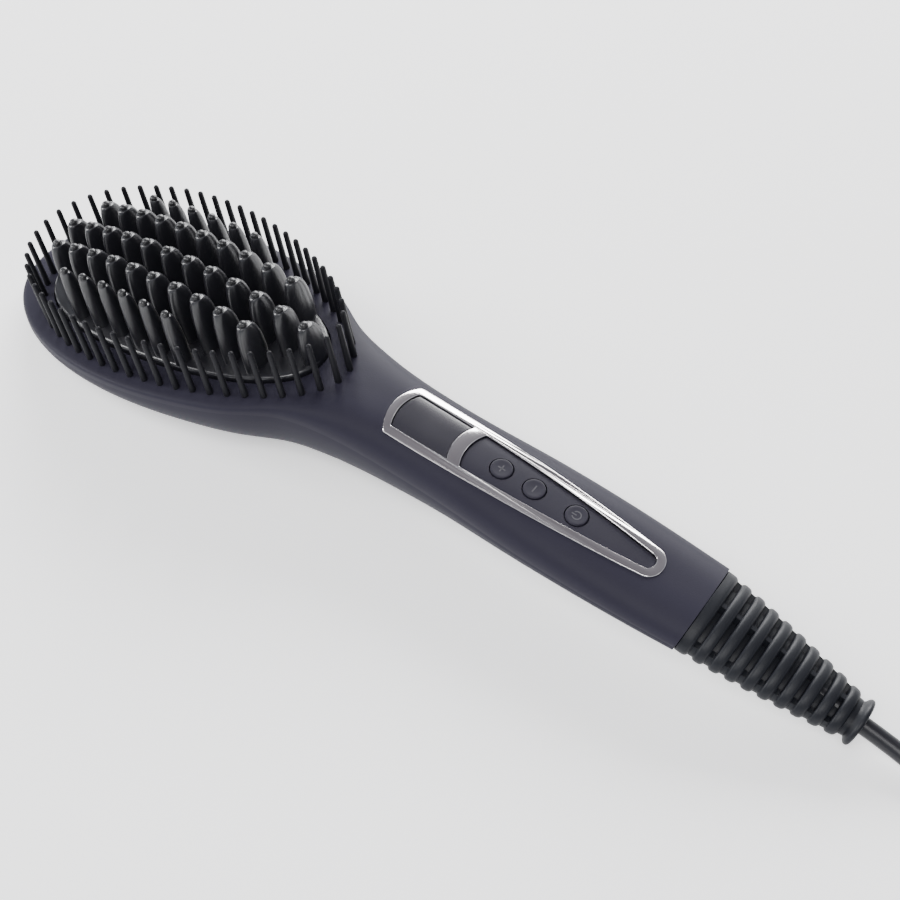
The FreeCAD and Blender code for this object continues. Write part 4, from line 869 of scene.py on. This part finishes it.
route = [collar_end, collar_end + seam_way * RUN_OUT, *FLOOR_POINTS,
         coil_start - Vector((RUN_IN, 0, 0)), coil_start]
for step in range(int(TURNS * STEPS_PER_TURN) + 1):
    turn = step / STEPS_PER_TURN
    if turn <= CLIMB_START:
        radius, z = COIL_OUTER - TURN_PITCH * turn, COIL_LOW
    elif turn < CLIMB_END:
        share = (turn - CLIMB_START) / (CLIMB_END - CLIMB_START)
        radius = COIL_INNER - TURN_PITCH / 4 * math.sin(math.pi * share)
        z = COIL_LOW + TURN_PITCH * (share - math.sin(2 * math.pi * share) / (2 * math.pi))
    else:
        radius, z = COIL_INNER + TURN_PITCH * (turn - CLIMB_END), COIL_LOW + TURN_PITCH
    angle = 2 * math.pi * turn - math.pi / 2
    route.append(Vector((COIL_CENTRE[0] + radius * REACH_OUT * math.cos(angle),
                         COIL_CENTRE[1] + radius * REACH_OUT * math.sin(angle), z)))
coil_end = Vector((COIL_CENTRE[0] + COIL_LEAD, CORD_LINE, COIL_LOW + TURN_PITCH))
tail_run = (PLUG_START.x - coil_end.x) / TAIL_PARTS
route += [coil_end, coil_end + Vector((tail_run, 0, 0)),
          PLUG_START - plug_spin @ Vector((tail_run, 0, 0)), PLUG_START]
curve = bpy.data.curves.new("mains_cord", "CURVE")
curve.dimensions = "3D"
curve.bevel_depth = CORD_RADIUS * MM
curve.bevel_resolution = 5
curve.use_fill_caps = True
run = curve.splines.new("NURBS")
run.points.add(len(route) - 1)
for point, place in zip(run.points, route):
    point.co = (*(place * MM), 1)
run.order_u = 3
run.use_endpoint_u = True
run.resolution_u = 6
cord = bpy.data.objects.new("mains_cord", curve)
bpy.context.scene.collection.objects.link(cord)
curve.materials.append(cord_rubber)
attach(cord, "brush")
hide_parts("power_cord", "cord_coil", "cord_tail")

# Cord tie: a flat woven strap closed into a loop round the bundle of turns.
# It runs under the coil, which lies a strap's thickness above the surface.
TIE_SLACK, TIE_FLOOR, TIE_CORNER = 0.3, 1.2, 2.0
TIE_PROFILE = ((0.02, -5.7), (0.9, -6.0), (1.15, -5.6), (1.2, -4.0), (1.2, 4.0), (1.15, 5.6), (0.9, 6.0),
               (0.02, 5.7))
tie_weave = moulded("woven_tie", (0.018, 0.018, 0.02), (0.03, 0.03, 0.033), (0.75, 0.9), 0.9, 0.0006,
                    mottle_size=0.0012)
low_y = COIL_CENTRE[1] + COIL_INNER - TURN_PITCH / 4 - 2 * CORD_RADIUS
high_y = COIL_CENTRE[1] + COIL_OUTER + CORD_RADIUS + TIE_SLACK
tie_top = COIL_LOW + TURN_PITCH + CORD_RADIUS + TIE_SLACK


def strap_loop(out, x):
    """Rounded loop round the bundle, a strap's thickness apart."""
    corners = [(low_y - out, TIE_FLOOR - out), (high_y + out, TIE_FLOOR - out), (high_y + out, tie_top + out),
               (low_y - out, tie_top + out)]
    loop = round_corners([Vector(corner) for corner in corners], TIE_CORNER + out, steps=8)
    return [(COIL_CENTRE[0] + x, y, z) for y, z in loop]


tie_rings = [strap_loop(out, x) for out, x in TIE_PROFILE]
tie_size = len(tie_rings[0])
tie_faces = ring_faces(len(tie_rings), tie_size, capped=False)
last_ring = (len(tie_rings) - 1) * tie_size
for i in range(tie_size):
    j = (i + 1) % tie_size
    tie_faces.append((last_ring + i, last_ring + j, j, i))
tie = make_piece("strap_tie", [p for ring in tie_rings for p in ring], tie_faces)
soften(tie, angle=40)
finish_piece(tie, tie_weave, "tie", "cord_tie")

# Inside: board, heater, switches, wires and screws, seen only when the case is open.
# They keep their CAD forms and get the usual finishes of such parts.
INSIDE = {
    "shell": soft_touch, "cord": cord_rubber, "brass": nickel, "rubber": boot_rubber, "keys": key_plastic,
    "bristles": nylon,
    "heater": moulded("heater_ceramic", (0.50, 0.46, 0.40), (0.60, 0.55, 0.48), (0.6, 0.7), 0.3, 0.0006),
    "mica": moulded("mica_sheet", (0.55, 0.48, 0.34), (0.68, 0.62, 0.46), (0.35, 0.5), 0.3, 0.002),
    "clamp": moulded("satin_aluminium", (0.62, 0.62, 0.63), (0.72, 0.72, 0.73), (0.3, 0.42), 0.2, 0.0008,
                     metallic=1.0),
    "steel": moulded("zinc_steel", (0.48, 0.48, 0.49), (0.6, 0.6, 0.61), (0.28, 0.4), 0.15, 0.0008,
                     metallic=1.0),
    "board": moulded("green_solder_mask", (0.015, 0.10, 0.04), (0.022, 0.14, 0.06), (0.35, 0.45), 0.2,
                     0.0015),
    "module": moulded("display_module_frame", (0.04, 0.04, 0.043), (0.055, 0.055, 0.06), (0.5, 0.6), 0.2,
                      0.0006),
    "components": moulded("component_epoxy", (0.02, 0.02, 0.021), (0.032, 0.032, 0.034), (0.5, 0.62), 0.2,
                          0.0005),
    "switches": moulded("switch_plastic", (0.045, 0.045, 0.047), (0.06, 0.06, 0.063), (0.5, 0.6), 0.2,
                        0.0005),
    "wire": moulded("red_wire_sleeve", (0.25, 0.03, 0.025), (0.33, 0.05, 0.04), (0.4, 0.55), 0.2, 0.0007),
}
dressed = {"upper_housing", "lower_housing", "heater_plate", "plate_teeth", "tooth_tips", "guard_bristles",
           "bezel_frame", "display_window", "button_panel", "plus_button", "minus_button", "power_button",
           "strain_relief", "plug_body", "plug_pins", "power_cord", "cord_coil", "cord_tail", "cord_tie"}
for part in frame["record"]["subparts"]:
    if part["node"] not in dressed:
        node = frame["nodes"][part["node"]]
        node.data.materials.clear()
        node.data.materials.append(INSIDE[part["material_slot"]])

# Studio: a plain pale floor, large soft lights and a camera at the viewing angle of the picture.
# The sky is brightest at the horizon, so the dark housing gets soft light along its sides.
FLOOR_HALF, FLOOR_DROP = 4, 0.0002
FLOOR_TONE, FLOOR_ROUGH, FLOOR_GLOW = 0.86, 0.9, 0.65
SKY = ((0.0, (0.92, 0.96, 1.0)), (0.3, (0.85, 0.9, 0.98)), (0.6, (0.42, 0.42, 0.47)),
       (1.0, (0.26, 0.25, 0.28)))
SKY_STRENGTH = 0.8
MIDDLE = (0.08, 0.0, 0.02)
CAMERA_PLACE, TARGET = (0.2243, -0.1850, 0.3212), Vector((0.09893, -0.01059, 0.03894))
FRAME_HALF, FOCAL = 450, 1400
floor_mesh = bpy.data.meshes.new("floor")
floor_mesh.from_pydata([(-FLOOR_HALF, -FLOOR_HALF, 0), (FLOOR_HALF, -FLOOR_HALF, 0),
                        (FLOOR_HALF, FLOOR_HALF, 0), (-FLOOR_HALF, FLOOR_HALF, 0)], [], [(0, 1, 2, 3)])
floor = bpy.data.objects.new("floor", floor_mesh)
bpy.context.scene.collection.objects.link(floor)
floor.location.z = -FLOOR_DROP
floor_paint = bpy.data.materials.new("pale_floor")
floor_paint.use_nodes = True
floor_shader = floor_paint.node_tree.nodes["Principled BSDF"]
floor_shader.inputs["Base Color"].default_value = (FLOOR_TONE, FLOOR_TONE, FLOOR_TONE, 1)
floor_shader.inputs["Roughness"].default_value = FLOOR_ROUGH
floor_shader.inputs["Emission Color"].default_value = (1, 1, 1, 1)
floor_shader.inputs["Emission Strength"].default_value = FLOOR_GLOW
floor_mesh.materials.append(floor_paint)
world = bpy.data.worlds.new("studio")
world.use_nodes = True
sky = world.node_tree
direction, split, ramp = (sky.nodes.new(kind) for kind in
                          ("ShaderNodeTexCoord", "ShaderNodeSeparateXYZ", "ShaderNodeValToRGB"))
sky.links.new(direction.outputs["Generated"], split.inputs["Vector"])
sky.links.new(split.outputs["Z"], ramp.inputs["Fac"])
sky.links.new(ramp.outputs["Color"], sky.nodes["Background"].inputs["Color"])
ramp.color_ramp.elements[0].color = (*SKY[0][1], 1)
ramp.color_ramp.elements[1].color = (*SKY[-1][1], 1)
for place, colour in SKY[1:-1]:
    ramp.color_ramp.elements.new(place).color = (*colour, 1)
sky.nodes["Background"].inputs["Strength"].default_value = SKY_STRENGTH
bpy.context.scene.world = world


def soft_light(name, place, aim, size, power):
    lamp = bpy.data.lights.new(name, "AREA")
    lamp.shape = "RECTANGLE"
    lamp.size, lamp.size_y = size
    lamp.energy = power
    light = bpy.data.objects.new(name, lamp)
    light.location = place
    light.rotation_euler = (Vector(aim) - Vector(place)).to_track_quat("-Z", "Y").to_euler()
    bpy.context.scene.collection.objects.link(light)


soft_light("back_box", (-0.38, 1.07, 0.59), MIDDLE, (1.2, 0.6), 40)
soft_light("left_box", (-0.9, -0.45, 0.6), MIDDLE, (0.5, 0.6), 13)
soft_light("key_box", (0.3, -0.6, 1.2), MIDDLE, (0.9, 0.6), 16)
camera_data = bpy.data.cameras.new("camera")
camera_data.sensor_fit = "HORIZONTAL"
camera_data.angle = 2 * math.atan(FRAME_HALF / FOCAL)
camera = bpy.data.objects.new("camera", camera_data)
camera.location = CAMERA_PLACE
camera.rotation_euler = (TARGET - camera.location).to_track_quat("-Z", "Y").to_euler()
bpy.context.scene.collection.objects.link(camera)
bpy.context.scene.camera = camera
